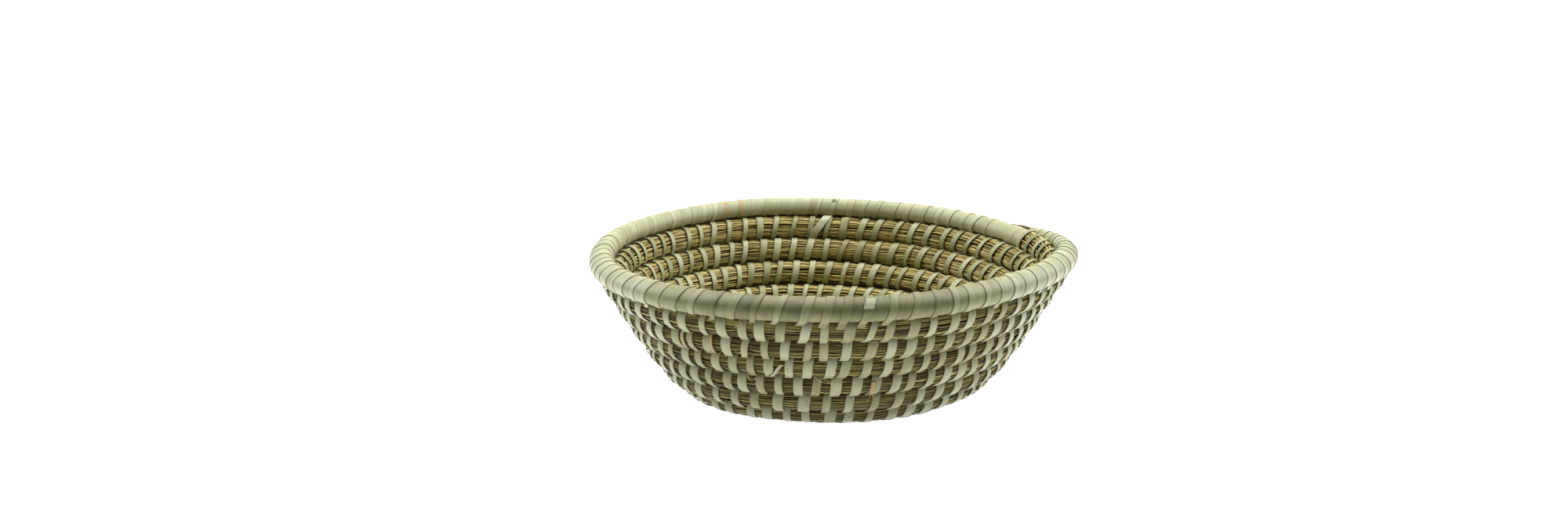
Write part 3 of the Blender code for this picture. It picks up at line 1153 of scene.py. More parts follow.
@dataclass(frozen=True)
class StripFinish:
    """Palm strips: pale grey-green to cream, with fine veins, browner edges and painted shadow beside them.

    The inner colour darkens and yellows a strip where it lies inside the bowl, as painted shade and warm
    bounce light, and the painted tuck shade darkens it where it goes into the slot under the next row.
    """

    # The darkest stop, which the painted shade at the front of the rim reaches; darker stitches lean to it
    # too.
    dusk: Triple = (0.080, 0.074, 0.016)
    grey: Triple = (0.245, 0.238, 0.100)
    green: Triple = (0.415, 0.420, 0.258)
    cream: Triple = (0.615, 0.620, 0.470)
    pink: Triple = (0.470, 0.350, 0.180)
    pink_from: float = 1.5
    # Painted shade and warm bounce light: a strip is darker and yellower where it lies inside the bowl.
    inner: Triple = (0.86, 0.85, 0.76)
    inner_span: tuple[float, float] = (0.38, 0.62)
    # Painted shade: the outside of a strip is darker where it tucks under the row above.
    tuck_span: tuple[float, float] = (0.22, 0.46)
    tuck_shade: float = 0.30
    # Darker edges: partly the strips' own browner edge colour, partly painted shadow in the gap beside each
    # strip.
    edge: Triple = (0.110, 0.095, 0.038)
    edge_span: tuple[float, float] = (0.00008, 0.00042)
    edge_share: float = 0.72
    contrast: float = 0.75
    blotching: float = 0.30
    banding: float = 0.06
    brightness: float = 0.12
    roughness: float = 0.42
    specular: float = 0.38

    def material(self) -> bpy.types.Material:
        """The material, built from nodes."""
        tree = Surface("palm_strips")
        tone = tree.attribute("tone")
        to_edge, _, along = tree.split(tree.attribute("edge", "Vector"))
        lines, bands = tree.streaks(tree.attribute("grain", "Vector"), 2600.0, 0.035)
        blotch = tree.noise(tree.result(tree.add("ShaderNodeTexCoord"), "Object"), 140.0, 3.0)
        level = tone * self.contrast + (blotch - 0.5) * self.blotching
        level = level + (bands - 0.5) * self.banding + self.brightness
        stops = ((0.0, self.dusk), (0.26, self.grey), (0.56, self.green), (1.0, self.cream))
        colour = tree.colour_ramp(level, stops)
        colour = tree.blend(tree.math("GREATER_THAN", tone, self.pink_from), colour, (*self.pink, 1.0))
        # Painted shade and warm bounce light on the part of a strip inside the bowl.
        inner = tree.ramp(along, *self.inner_span)
        colour = tree.blend(inner, colour, tree.tint(colour, self.inner))
        # Painted shade on the upper outside of each strip, under the overhang of the row above.
        colour = tree.shade(colour, 1.0 - tree.ramp(along, *self.tuck_span) * (1.0 - inner) * self.tuck_shade)
        # Browner edges, partly own colour and partly painted shadow beside the strip.
        near_edge_shadow = (1.0 - tree.ramp(to_edge, *self.edge_span)) * self.edge_share
        colour = tree.blend(near_edge_shadow, colour, (*self.edge, 1.0))
        colour = tree.shade(colour, tree.mix(lines, 0.975, 1.015))
        roughness = tree.mix(lines, self.roughness - 0.08, self.roughness + 0.14)
        return tree.finish(colour, roughness, self.specular, lines, (0.15, 0.0002))


@dataclass(frozen=True)
class CorePaintedShadeFinish:
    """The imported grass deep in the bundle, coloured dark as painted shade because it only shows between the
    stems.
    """

    light: Triple = (0.115, 0.090, 0.030)
    dark: Triple = (0.030, 0.022, 0.006)
    roughness: float = 0.85
    specular: float = 0.10

    def material(self) -> bpy.types.Material:
        """The material, built from nodes."""
        tree = Surface("packed_grass")
        level, bands = tree.streaks(tree.attribute("grain", "Vector"), 1500.0, 0.05)
        # Painted shade: the deep grass is as dark as the shadow between the stems.
        colour = tree.colour_ramp(level * 0.6 + bands * 0.4, ((0.25, self.dark), (0.85, self.light)))
        return tree.finish(colour, self.roughness, self.specular, level, (0.5, 0.0004))


@dataclass
class StripWinder:
    """Makes wound strips from lists of them.

    The profile is the outline of a strip: the way across it, from -1 to 1, and the height, from 0 to 1. The
    points that are listed in crisp are its corners.
    """

    spiral: Spiral
    finish: bpy.types.Material
    rings: int = 29
    bend: float = 0.15
    profile: tuple[tuple[float, float], ...] = (
        (-1.0, 0.1),
        (-0.9, 0.9),
        (0.0, 1.0),
        (0.9, 0.9),
        (1.0, 0.1),
        (0.0, 0.0),
    )
    crisp: tuple[int, ...] = (0, 1, 3, 4)

    def __post_init__(self) -> None:
        """Makes the tree, the guide line and the straight blank."""
        self.tree = strip_tree(StripHabit())
        self.guide = guide_object("strip_guide", self.spiral.whole())
        self.blank = self.make_blank()

    def make_blank(self) -> bpy.types.Object:
        """A closed straight strip with X from 0 to 1 along it and Y from -1 to 1 across it.

        Returns:
            The object.
        """
        across = len(self.profile)
        points = [(ring / (self.rings - 1), y, z) for ring in range(self.rings) for y, z in self.profile]
        faces = []
        for low in range(0, (self.rings - 1) * across, across):
            high = low + across
            for index in range(across):
                after = (index + 1) % across
                faces.append((low + index, high + index, high + after, low + after))
        faces.append(tuple(range(across)))
        last = (self.rings - 1) * across
        faces.append(tuple(last + index for index in reversed(range(across))))
        blank = new_object("strip_blank", points, faces=faces)
        sharp = blank.data.attributes.new("sharp_edge", "BOOLEAN", "EDGE")
        for edge in blank.data.edges:
            first, second = sorted(edge.vertices)
            lengthwise = second - first == across
            sharp.data[edge.index].value = lengthwise and first % across in self.crisp
        return blank

    def wind(self, name: str, strips: Sequence[Strip], section: Section) -> bpy.types.Object:
        """Winds a list of strips.

        Args:
            name: The piece's name.
            strips: The strips.
            section: The outline of what they lie on.

        Returns:
            The piece.
        """
        values = {item.name: column(strips, item.name) for item in fields(Strip)}
        for label in ("start", "sweep"):
            values[label] = np.radians(values[label])
        settings = section.feeds() | {
            "Guide": self.guide,
            "Blank": self.blank,
            "Thickness": self.spiral.sizes.strip_thickness,
            "Loop Length": math.pi * (section.half_width + section.half_depth),
            "Bend": self.bend,
            "Finish": self.finish,
        }
        carrier = new_object(name, np.zeros((len(strips), 3)), values=values)
        return grow(carrier, self.tree, settings)

    def clear_away(self) -> None:
        """Removes the guide and the blank, which are not part of the basket."""
        for helper in (self.guide, self.blank):
            bpy.data.objects.remove(helper)


@dataclass
class SewingRows:
    """The strips that sew each turn of the bundle to the one below it.

    Counts and angles run from the base outwards, and the angles are of a stitch at the front. The odd strips
    have their row counted down from the rim, and their angle. Leads are turns after the knot or before the
    rim.
    """

    spiral: Spiral
    winder: StripWinder
    stitch_counts: tuple[int, ...] = (9, 15, 22, 30, 38, 47, 47, 64, 68, 68, 70)
    front_degrees: tuple[float, ...] = (0.0, 0.0, 0.0, 0.0, 0.0, 268.4, 268.0, 265.5, 268.8, 268.9, 268.5)
    odd_strips: tuple[tuple[int, float, Strip], ...] = (
        (3, 255.2, Strip(0.0022, 0.0180, 0.0, 0.0007, 0.8, start=-62.0, sweep=95.0)),
        (4, 281.8, Strip(0.0026, 0.0010, 0.0, 0.0007, 2.0, start=-80.0, sweep=120.0)),
        (2, 229.6, Strip(0.0022, 0.0018, 0.0, 0.0006, 2.0, start=-84.0, sweep=165.0)),
        (2, 238.6, Strip(0.0020, 0.0010, 0.0, 0.0006, 2.0, start=-84.0, sweep=165.0)),
        (11, 52.7, Strip(0.0034, 0.0003, 0.0003, 0.0003, 0.6)),
        (11, 72.5, Strip(0.0034, 0.0003, 0.0003, 0.0003, 0.6)),
        (11, 92.3, Strip(0.0034, 0.0003, 0.0003, 0.0003, 0.6)),
        (1, 91.0, Strip(0.0056, 0.0, 0.0100, 0.0007, 0.7, start=112.0, sweep=130.0)),
    )
    section: Section = Section(0.00695, 0.00650, 0.87)
    width: float = 0.0052
    widths: tuple[float, float] = (0.72, 1.20)
    side_narrowing: float = 0.23
    tones: tuple[float, float] = (0.24, 0.66)
    lean: float = 0.0024
    inner_lean: float = 0.0036
    lean_changes: tuple[float, float] = (0.0010, 0.0008)
    jitter: float = 0.07
    lift: float = 0.00005
    flap: float = 0.0008
    flap_out: float = 0.62
    room_share: float = 0.72
    first_lead: float = 0.05
    last_lead: float = 0.026
    binding_lead: float = 0.028
    seed: int = 11

    def __post_init__(self) -> None:
        """Works out where every stitch lies."""
        self.draws = np.random.default_rng(self.seed)
        self.rows = [self.plan_row(row) for row in range(len(self.stitch_counts))]

    def plan_row(self, row: int) -> list[Strip]:
        """The stitches of one row.

        Args:
            row: The row's number, from the base outwards, starting at zero.

        Returns:
            Its strips.
        """
        spiral, draws = self.spiral, self.draws
        count = self.stitch_counts[row]
        row_from_rim = len(self.stitch_counts) - row
        first_turn = spiral.sizes.rim_turn - len(self.stitch_counts) + row
        known = spiral.turn_at_angle(first_turn, self.front_degrees[row])
        phase = (known - first_turn) * count % 1.0
        strips = [
            replace(strip, strip_place=spiral.row_place(row_from_rim, degrees))
            for odd_row, degrees, strip in self.odd_strips
            if odd_row == row_from_rim
        ]
        for index in range(count):
            turn = first_turn + (index + phase + float(draws.normal(0.0, self.jitter))) / count
            spacing = float(spiral.place_at(turn + 0.5 / count) - spiral.place_at(turn - 0.5 / count))
            front = float(smooth(-math.sin(float(spiral.angle(turn))) * 1.6 - 0.2))
            width = self.width * float(draws.uniform(*self.widths))
            width *= 1.0 - self.side_narrowing * (1.0 - front)
            tone = float(draws.uniform(*self.tones))
            lean = self.lean + float(draws.normal(0.0, self.lean_changes[0]))
            flap = self.flap * float(draws.uniform(0.6, 1.5))
            if not spiral.sizes.knot_turn + self.first_lead < turn < spiral.sizes.rim_turn - self.last_lead:
                continue
            inner_lean = self.inner_lean + float(draws.normal(0.0, self.lean_changes[1]))
            inner_lean = min(inner_lean, spacing * 0.5)
            place = float(spiral.place_at(turn))
            cross = (spacing - (lean + inner_lean)) / 2
            width = min(width, spacing * self.room_share)
            strips.append(Strip(width, lean, inner_lean, self.lift, tone, place, cross, flap, self.flap_out))
        return strips

    def crossings(self) -> tuple[np.ndarray, np.ndarray]:
        """Where strips draw the bundle in.

        Returns:
            The places where a stitch, or the first wrap of the rim, passes the outside, and the inside.
        """
        outer = np.concatenate([column(strips, "strip_place") for strips in self.rows])
        inner = np.concatenate([inner_places(strips) for strips in self.rows])
        binding = float(self.spiral.place_at(self.spiral.sizes.rim_turn - self.binding_lead))
        return np.sort(np.append(outer, binding)), np.sort(np.append(inner, binding))

    def build(self) -> None:
        """Makes one piece for each row."""
        for number, strips in enumerate(self.rows, 1):
            piece = self.winder.wind(f"sewing_row_{number:02d}", strips, self.section)
            settle(piece, [f"sewing_strip_{number:02d}"])


@dataclass
class RimBinding:
    """The closely laid strips round the last turn: wide ones, and narrow ones over the seams between them.

    The tails are the ends that are seen at the front. The strips slant there, lie closer at one part of the
    back, and are darker and greyer round front_middle, partly as older strips and partly as painted shade.
    The leads are turns before the rim's start, for the first edge and seam, and before its end, for the last
    seam and edge.
    """

    spiral: Spiral
    winder: StripWinder
    tail_degrees: tuple[float, ...] = (251.3, 256.7, 262.8, 267.7, 271.8, 276.4, 282.0)
    tail_lengths: tuple[float, ...] = (0.0003, 0.0003, 0.0004, 0.0019, 0.0034, 0.0022, 0.0010)
    tail_out: float = 0.85
    loose_share: float = 0.2
    loose_lengths: tuple[float, float] = (0.0004, 0.0012)
    period: float = 0.0098
    slanted_degrees: tuple[float, float] = (232.0, 286.0)
    slanted_period: float = 0.0116
    close_degrees: tuple[float, float] = (92.0, 165.0)
    close_period: float = 0.0084
    period_spread: tuple[float, float] = (0.90, 1.10)
    pink_degrees: tuple[float, float] = (114.5, 121.5)
    pink_tone: float = 2.0
    pink_width: float = 0.75
    front_middle: float = 268.0
    front_fade: tuple[float, float] = (60.0, 40.0)
    slant_fade: float = 8.0
    wide_tones: tuple[float, float] = (0.50, 0.72)
    narrow_tones: tuple[float, float] = (0.55, 0.88)
    # How much the front wraps are greyed as older strips and darkened as painted shade.
    greyings: tuple[float, float] = (0.57, 0.54)
    narrow: float = 0.0036
    narrow_spread: tuple[float, float] = (0.75, 1.25)
    slanted_gain: float = 0.0006
    overlap: float = 1.06
    lean: float = 0.0030
    slanted_lean: float = 0.0050
    lean_change: float = 0.0005
    cross: float = 0.0004
    wide_lift: float = 0.00005
    wide_lift_step: float = 0.00012
    first_wide_lift: float = 0.0004
    narrow_lift: float = 0.00045
    narrow_front_lift: float = 0.00020
    narrow_first_lift: float = 0.0001
    narrow_close_lift: float = 0.00025
    wide_start: float = -100.0
    wide_sweep: float = 355.0
    leads: tuple[float, float, float, float] = (0.032, 0.024, 0.031, 0.026)
    section: Section = Section(0.00520, 0.00620, 0.86)
    odd_strips: tuple[tuple[float, Strip], ...] = (
        (277.2, Strip(0.0054, 0.007, 0.007, 0.0010, 0.72, cross=0.0004, start=52.0, sweep=46.0)),
        (88.4, Strip(0.0034, 0.002, 0.002, 0.00045, -0.6, start=144.0, sweep=24.0)),
    )
    seed: int = 23

    def degrees_at(self, place: float) -> float:
        """The direction from the axis at a place on the rim, in degrees from 0 to 360."""
        turn = float(np.interp(place, self.spiral.places, self.spiral.turns))
        return math.degrees(float(self.spiral.angle(turn))) % 360.0

    def slant_at(self, place: float) -> float:
        """How much a place on the rim belongs to its slanted part.

        Args:
            place: The place along the bundle.

        Returns:
            A share from 0 to 1.
        """
        low, high = self.slanted_degrees
        degrees, fade = self.degrees_at(place), self.slant_fade
        return float(smooth((degrees - low + fade) / fade) * smooth((high + fade - degrees) / fade))

    def lean_at(self, place: float) -> float:
        """How far a strip moves on along the bundle at a place on the rim."""
        return self.lean + (self.slanted_lean - self.lean) * self.slant_at(place)

    def frontness(self, place: float) -> float:
        """How near a place on the rim is to the front, from 0 to 1, where wraps are older and painted darker
        as shade.
        """
        end, width = self.front_fade
        return float(smooth((end - abs(self.degrees_at(place) - self.front_middle)) / width))

    def within(self, place: float, span: tuple[float, float]) -> bool:
        """Whether a place on the rim lies between two angles."""
        return span[0] < self.degrees_at(place) < span[1]

    def seams(self, draws: np.random.Generator) -> list[tuple[float, float]]:
        """The places of the narrow strips and how far the end of each hangs down.

        Args:
            draws: Where the small irregularities come from.

        Returns:
            The places in order, each with its length.
        """
        sizes = self.spiral.sizes
        first = float(self.spiral.place_at(sizes.rim_turn - self.leads[1]))
        last = float(self.spiral.place_at(sizes.end_turn - self.leads[2]))
        known = [
            (self.spiral.row_place(0, degrees) + self.slanted_lean * 0.5, length)
            for degrees, length in zip(self.tail_degrees, self.tail_lengths)
        ]
        before, after = [], []
        for way, limit, start, found in ((-1, first, known[0][0], before), (1, last, known[-1][0], after)):
            place = start
            while True:
                period = self.period + (self.slanted_period - self.period) * self.slant_at(place)
                if self.within(place, self.close_degrees):
                    period = self.close_period
                place += way * period * float(draws.uniform(*self.period_spread))
                if way * (place - limit) > 0:
                    break
                loose = draws.random() < self.loose_share
                found.append((place, float(draws.uniform(*self.loose_lengths)) if loose else 0.0))
        return before[::-1] + known + after

    def wide_strips(self, seams: Sequence[tuple[float, float]], draws: np.random.Generator) -> list[Strip]:
        """The wide strips, each from one seam to the next.

        Args:
            seams: The places of the seams, each with a length.
            draws: Where the small irregularities come from.

        Returns:
            The strips.
        """
        sizes = self.spiral.sizes
        first = float(self.spiral.place_at(sizes.rim_turn - self.leads[0]))
        last = float(self.spiral.place_at(sizes.end_turn - self.leads[3]))
        edges = [first, *(place for place, _ in seams), last]
        strips = []
        for index, (start, end) in enumerate(zip(edges, edges[1:])):
            middle = (start + end) / 2
            lean = self.lean_at(middle)
            # Older strips and painted shade round the front middle lower the tone.
            tone = float(draws.uniform(*self.wide_tones)) - self.greyings[0] * self.frontness(middle)
            lift = self.wide_lift + self.wide_lift_step * (index % 2)
            lift += self.first_wide_lift if index < 2 else 0.0
            strip = Strip((end - start) * self.overlap, lean, lean, lift, tone, middle, self.cross)
            strips.append(replace(strip, start=self.wide_start, sweep=self.wide_sweep))
        return strips

    def narrow_strips(self, seams: Sequence[tuple[float, float]], draws: np.random.Generator) -> list[Strip]:
        """The narrow strips over the seams, after the odd ones.

        Args:
            seams: The places of the seams, each with the length of its strip's end.
            draws: Where the small irregularities come from.

        Returns:
            The strips.
        """
        row_place = self.spiral.row_place
        strips = [replace(strip, strip_place=row_place(0, degrees)) for degrees, strip in self.odd_strips]
        for index, (place, length) in enumerate(seams):
            lean = self.lean_at(place) + float(draws.normal(0.0, self.lean_change))
            width = self.narrow * float(draws.uniform(*self.narrow_spread))
            width += self.slanted_gain * self.slant_at(place)
            # Older strips and painted shade round the front middle lower the tone.
            tone = float(draws.uniform(*self.narrow_tones)) - self.greyings[1] * self.frontness(place)
            lift = self.narrow_lift + self.narrow_front_lift * self.frontness(place)
            if index < 3:
                lift = self.narrow_first_lift
            if self.within(place, self.close_degrees):
                lift = self.narrow_close_lift
            if self.within(place, self.pink_degrees):
                tone = self.pink_tone
                width *= self.pink_width
            strips.append(Strip(width, lean, lean, lift, tone, place, self.cross, length, self.tail_out))
        return strips

    def build(self) -> None:
        """Makes the two pieces of the binding."""
        draws = np.random.default_rng(self.seed)
        seams = self.seams(draws)
        tails = [f"strip_tail_{index:02d}" for index in range(1, 5)]
        wides = self.winder.wind("rim_wraps_wide", self.wide_strips(seams, draws), self.section)
        settle(wides, ["rim_binding"])
        narrows = self.winder.wind("rim_wraps_narrow", self.narrow_strips(seams, draws), self.section)
        settle(narrows, ["rim_binding", *tails])


@dataclass
class StartKnot:
    """The wound button of strips that closes the middle of the base, over a ball of packed grass.

    The shares of turn and tone say how far each strip is from the one before, and way_along is the place on a
    strip that the finish reads.
    """

    finish: bpy.types.Material
    centre: Triple = (0.0024, 0.0020, 0.0093)
    radius: float = 0.0078
    half_height: float = 0.0046
    width: float = 0.0046
    thickness: float = 0.0005
    lift_step: float = 0.00022
    bluntness: float = 0.75
    turn_share: float = 0.382
    strips: int = 8
    steps: int = 32
    tone_share: float = 0.618
    tones: tuple[float, float] = (0.45, 0.35)
    way_along: float = 0.2
    ball_share: float = 0.98
    ball_rings: int = 9
    ball_sides: int = 16
    ball_tone: float = 0.3

    def loop(self, number: int) -> tuple[list[np.ndarray], list[Triple]]:
        """One strip wound once over the button.

        Args:
            number: Its number, from the lowest one.

        Returns:
            Its points in rings, and for each one the distance to the edge, the height and the way along.
        """
        turn = (number * self.turn_share % 1.0) * math.pi
        way = np.array([math.cos(turn), math.sin(turn), 0.0])
        side = np.array([-math.sin(turn), math.cos(turn), 0.0])
        upwards = np.array([0.0, 0.0, 1.0])
        points, edges = [], []
        for step in range(self.steps):
            angle = step / self.steps * math.tau
            waves = (math.cos(angle), math.sin(angle))
            level, over = (math.copysign(abs(wave) ** self.bluntness, wave) for wave in waves)
            for across, above in StripWinder.profile:
                offset = across * self.width / 2
                roundness = math.sqrt(1.0 - (offset / self.radius) ** 2)
                out = above * self.thickness + number * self.lift_step
                flat = way * (self.radius * roundness + out) * level + side * offset
                rise = upwards * (self.half_height * roundness + out) * over
                points.append(np.array(self.centre) + flat + rise)
                edges.append(((1.0 - abs(across)) * self.width / 2, above, self.way_along))
        return points, edges

    def ball(self) -> list[np.ndarray]:
        """The points of the ball inside the strips, ring by ring from the top."""
        points = []
        for ring in range(self.ball_rings):
            tilt = (ring + 0.5) / self.ball_rings * math.pi
            rise = np.array([0.0, 0.0, math.cos(tilt) * self.half_height * self.ball_share])
            for index in range(self.ball_sides):
                angle = index / self.ball_sides * math.tau
                flat = np.array([math.cos(angle), math.sin(angle), 0.0]) * math.sin(tilt)
                points.append(np.array(self.centre) + flat * self.radius * self.ball_share + rise)
        return points

    def build(self) -> None:
        """Makes the button as one piece."""
        points, faces, edges, tones = [], [], [], []
        sides = len(StripWinder.profile)
        for number in range(self.strips):
            loop, loop_edges = self.loop(number)
            first = len(points)
            points += loop
            edges += loop_edges
            tones += [self.tones[0] + self.tones[1] * (number * self.tone_share % 1.0)] * len(loop)
            for ring in range(self.steps):
                low, high = first + ring * sides, first + (ring + 1) % self.steps * sides
                for index in range(sides):
                    after = (index + 1) % sides
                    faces.append((low + index, low + after, high + after, high + index))
        faces += tube_faces(len(points), self.ball_rings, self.ball_sides)
        ball = self.ball()
        points += ball
        edges += [(0.0, 0.0, self.way_along)] * len(ball)
        tones += [self.ball_tone] * len(ball)
        grain = np.array(points) * (1.0, 1.0, 0.0) + np.array(tones)[:, None] * (0.0, 0.0, 1.0)
        values = {"tone": tones, "edge": edges, "grain": grain}
        settle(solid_piece("start_wraps", points, faces, values, self.finish), ["start_knot"])


@dataclass
class LooseEnds:
    """Fibres that have come loose, each a thin tube through points beside the bundle.

    Each fibre has its row, counted down from the rim, its tone, and its points: the angle in degrees, and the
    millimetres up the wall and out of it.
    """

    spiral: Spiral
    finish: bpy.types.Material
    fibres: tuple[tuple[int, float, tuple[Triple, ...]], ...] = (
        (3, 0.9, ((265.2, -3.0, 6.0), (266.6, -5.2, 8.0), (268.8, -6.6, 8.6), (271.0, -6.2, 8.4),
                  (272.8, -4.6, 6.6))),
        (3, 0.7, ((267.0, -4.0, 6.6), (269.6, -6.0, 8.2), (272.4, -7.0, 8.0), (274.0, -7.2, 7.0))),
        (3, 1.0, ((246.6, -3.6, 6.4), (246.9, -6.4, 8.2), (247.8, -7.4, 8.2), (248.8, -6.2, 7.4))),
        (2, 1.0, ((282.8, -5.0, 6.2), (285.0, -6.6, 7.8), (287.6, -6.4, 8.4), (290.6, -4.8, 7.6))),
        (4, 0.5, ((281.2, -3.8, 6.4), (281.4, -5.6, 7.8), (280.4, -7.2, 8.0))),
        (4, 0.6, ((281.8, -3.4, 6.4), (282.4, -5.6, 8.0), (283.2, -6.8, 8.2))),
        (6, 0.8, ((266.0, 2.8, 6.4), (268.0, 0.6, 7.2), (271.0, -2.6, 6.4))),
        (6, 0.8, ((268.4, 3.0, 6.2), (271.0, 0.4, 7.2), (273.4, -1.8, 6.6))),
        (1, 0.9, ((85.6, 5.6, -6.2), (85.0, 4.0, -7.6), (83.6, 2.6, -8.0))),
        (1, 1.0, ((86.0, 5.4, -6.2), (85.8, 3.4, -7.6), (85.6, 1.4, -7.4))),
        (1, 0.8, ((85.2, 5.4, -6.4), (83.8, 4.6, -7.8), (82.2, 4.4, -7.4))),
        (0, 0.9, ((247.8, -5.2, 6.2), (248.2, -6.8, 7.4), (247.4, -8.4, 7.4))),
        (0, 0.9, ((248.6, -5.2, 6.2), (249.4, -7.0, 7.4), (249.2, -8.0, 7.0))),
    )
    radius: float = 0.00022
    narrowing: float = 0.5
    sides: int = 5
    steps: int = 14
    patch: float = 0.6
    outer: float = 0.3

    def line(self, row: int, knots: Sequence[Triple]) -> np.ndarray:
        """A smooth line through knots beside a row.

        Args:
            row: The row, counted down from the rim.
            knots: The points that the line passes.

        Returns:
            The points of the line.
        """
        share = np.linspace(0.0, 1.0, len(knots))
        fine = np.linspace(0.0, 1.0, self.steps)
        degree = len(knots) - 1
        angles, ups, outs = (np.polyval(np.polyfit(share, one, degree), fine) for one in np.array(knots).T)
        rim_turn = self.spiral.sizes.rim_turn
        turn = np.array([self.spiral.turn_at_angle(rim_turn - row, degrees) for degrees in angles])
        middle, wall, face = self.spiral.middles(turn)
        return middle + wall * ups[:, None] / 1000 + face * outs[:, None] / 1000

    def build(self) -> None:
        """Makes all loose fibres as one piece."""
        points, faces, tones = [], [], []
        for row, tone, knots in self.fibres:
            line = self.line(row, knots)
            along = np.gradient(line, axis=0)
            along /= np.linalg.norm(along, axis=1)[:, None]
            side = np.cross(along, (0.0, 0.0, 1.0))
            side /= np.linalg.norm(side, axis=1)[:, None]
            over = np.cross(side, along)
            faces += tube_faces(len(points), len(line), self.sides)
            for ring, middle in enumerate(line):
                radius = self.radius * (1.0 - self.narrowing * ring / len(line))
                for angle in np.arange(self.sides) / self.sides * math.tau:
                    way = side[ring] * math.cos(angle) + over[ring] * math.sin(angle)
                    points.append(middle + radius * way)
                    tones.append(tone)
        values = {"tone": tones, "patch": [self.patch] * len(tones), "outer": [self.outer] * len(tones)}
        settle(solid_piece("loose_fibres", points, faces, values, self.finish))


@dataclass
class GrassBundle:
    """The stems of the bundle, in stretches that each make one piece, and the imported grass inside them.

    The pieces end at the cut turns. Leads are turns before the rim's start or its end, base_gain and
    base_flatness widen and square the bundle on the base, and tip_loss narrows it at the tip.
    """

    spiral: Spiral
    finish: bpy.types.Material
    core_finish: bpy.types.Material
    section: Section = Section(0.00775, 0.00670, 0.83)
    cut_turns: tuple[float, ...] = (5.3, 7.3, 8.9, 10.2)
    top_lead: float = 0.026
    tip_leads: tuple[float, float] = (0.045, 0.020)
    step: float = 0.0024
    coarse_step: float = 0.0030
    coarse_before: float = 6.0
    flat_before: float = 6.0
    base_gain: float = 0.00035
    base_flatness: float = 0.05
    tip_loss: tuple[float, float] = (0.0026, 0.0014)
    stems_around: int = 52
    sides: int = 4
    stem_radius: float = 0.00052
    stem_length: float = 0.11
    wander: float = 1.2
    pinch_depth: float = 0.00060
    pinch_reach: float = 0.0043
    squeeze: float = 0.0006
    seed: float = 5.0
    core_step: float = 0.004
    core_sides: int = 14
    core_depth: float = 0.0013
    core_reach: float = 0.0079
    core_rim_reach: float = 0.0054
    core_rim_drop: float = 0.0010
    core_rim_span: tuple[float, float] = (0.02, 0.04)
    core_end_lead: float = 0.028
    core_table_gap: float = 0.0016

    def pinches(self, place: np.ndarray, crossings: np.ndarray) -> np.ndarray:
        """How far strips draw the bundle in at places.

        Args:
            place: The places.
            crossings: Where the strips cross, in order.

        Returns:
            The pinch at each place, from 0 to 1.
        """
        after = np.clip(np.searchsorted(crossings, place), 1, len(crossings) - 1)
        gap = np.minimum(np.abs(crossings[after] - place), np.abs(crossings[after - 1] - place))
        return np.exp(-((gap / self.pinch_reach) ** 2))

    def parts(self) -> list[tuple[str, float, float]]:
        """The pieces of grass, each with its first and last turn."""
        sizes = self.spiral.sizes
        turns = (sizes.knot_turn, *self.cut_turns, sizes.rim_turn - self.top_lead)
        names = ("grass_base", "grass_foot", "grass_lower_wall", "grass_upper_wall", "grass_top")
        tip = ("grass_rim_tip", *(sizes.end_turn - lead for lead in self.tip_leads))
        return [*zip(names, turns, turns[1:]), tip]

    def build(self, outer: np.ndarray, inner: np.ndarray) -> None:
        """Makes the stems and the core.

        Args:
            outer: Where strips cross the outside.
            inner: Where they cross the inside.
        """
        tree = stem_tree(StemHabit())
        section = self.section
        for name, first_turn, last_turn in self.parts():
            step = self.coarse_step if first_turn < self.coarse_before else self.step
            stretch = self.spiral.stretch(first_turn, last_turn, step)
            pinches = {
                "pinch_out": self.pinches(stretch.place, outer),
                "pinch_in": self.pinches(stretch.place, inner),
            }
            tip = float(first_turn > self.spiral.sizes.rim_turn)
            flat = float(last_turn < self.flat_before)
            own_section = Section(
                section.half_width - tip * self.tip_loss[0] + flat * self.base_gain,
                section.half_depth - tip * self.tip_loss[1],
                section.roundness - flat * self.base_flatness,
            )
            settings = own_section.feeds() | {
                "Stems Around": self.stems_around,
                "Stem Radius": self.stem_radius,
                "Stem Length": self.stem_length,
                "Wander": self.wander,
                "Squeeze": self.squeeze,
                "Pinch Depth": self.pinch_depth,
                "Sides": self.sides,
                "Seed": self.seed,
                "Finish": self.finish,
            }
            piece = grow(guide_object(name, stretch, pinches), tree, settings)
            settle(piece, ["grass_coil", "start_knot"])
        self.build_core()

    def build_core(self) -> None:
        """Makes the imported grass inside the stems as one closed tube, which also fills the slots."""
        sizes = self.spiral.sizes
        stretch = self.spiral.stretch(sizes.knot_turn, sizes.end_turn - self.core_end_lead, self.core_step)
        angle = np.arange(self.core_sides) / self.core_sides * math.tau
        out = np.cos(angle) * (self.section.half_depth - self.core_depth)
        turn = np.interp(stretch.place, self.spiral.places, self.spiral.turns)
        before, span = self.core_rim_span
        in_rim = smooth((turn - sizes.rim_turn + before) / span)
        half_up = self.core_reach + (self.core_rim_reach - self.core_reach) * in_rim
        up = np.sin(angle) * half_up[:, None] - (in_rim * self.core_rim_drop)[:, None]
        offset = stretch.wall[:, None] * up[:, :, None] + stretch.face[:, None] * out[:, None]
        points = (stretch.middle[:, None] + offset * stretch.size[:, None, None]).reshape(-1, 3)
        points[:, 2] = np.maximum(points[:, 2], self.core_table_gap)
        rings = len(stretch.place)
        around = np.tile(angle * self.section.half_width, rings)
        grain = np.stack([around, np.repeat(stretch.place, self.core_sides), np.zeros(len(points))], axis=1)
        faces = tube_faces(0, rings, self.core_sides)
        core = solid_piece("packed_core", points, faces, {"grain": grain}, self.core_finish)
        settle(core, ["grass_coil"])


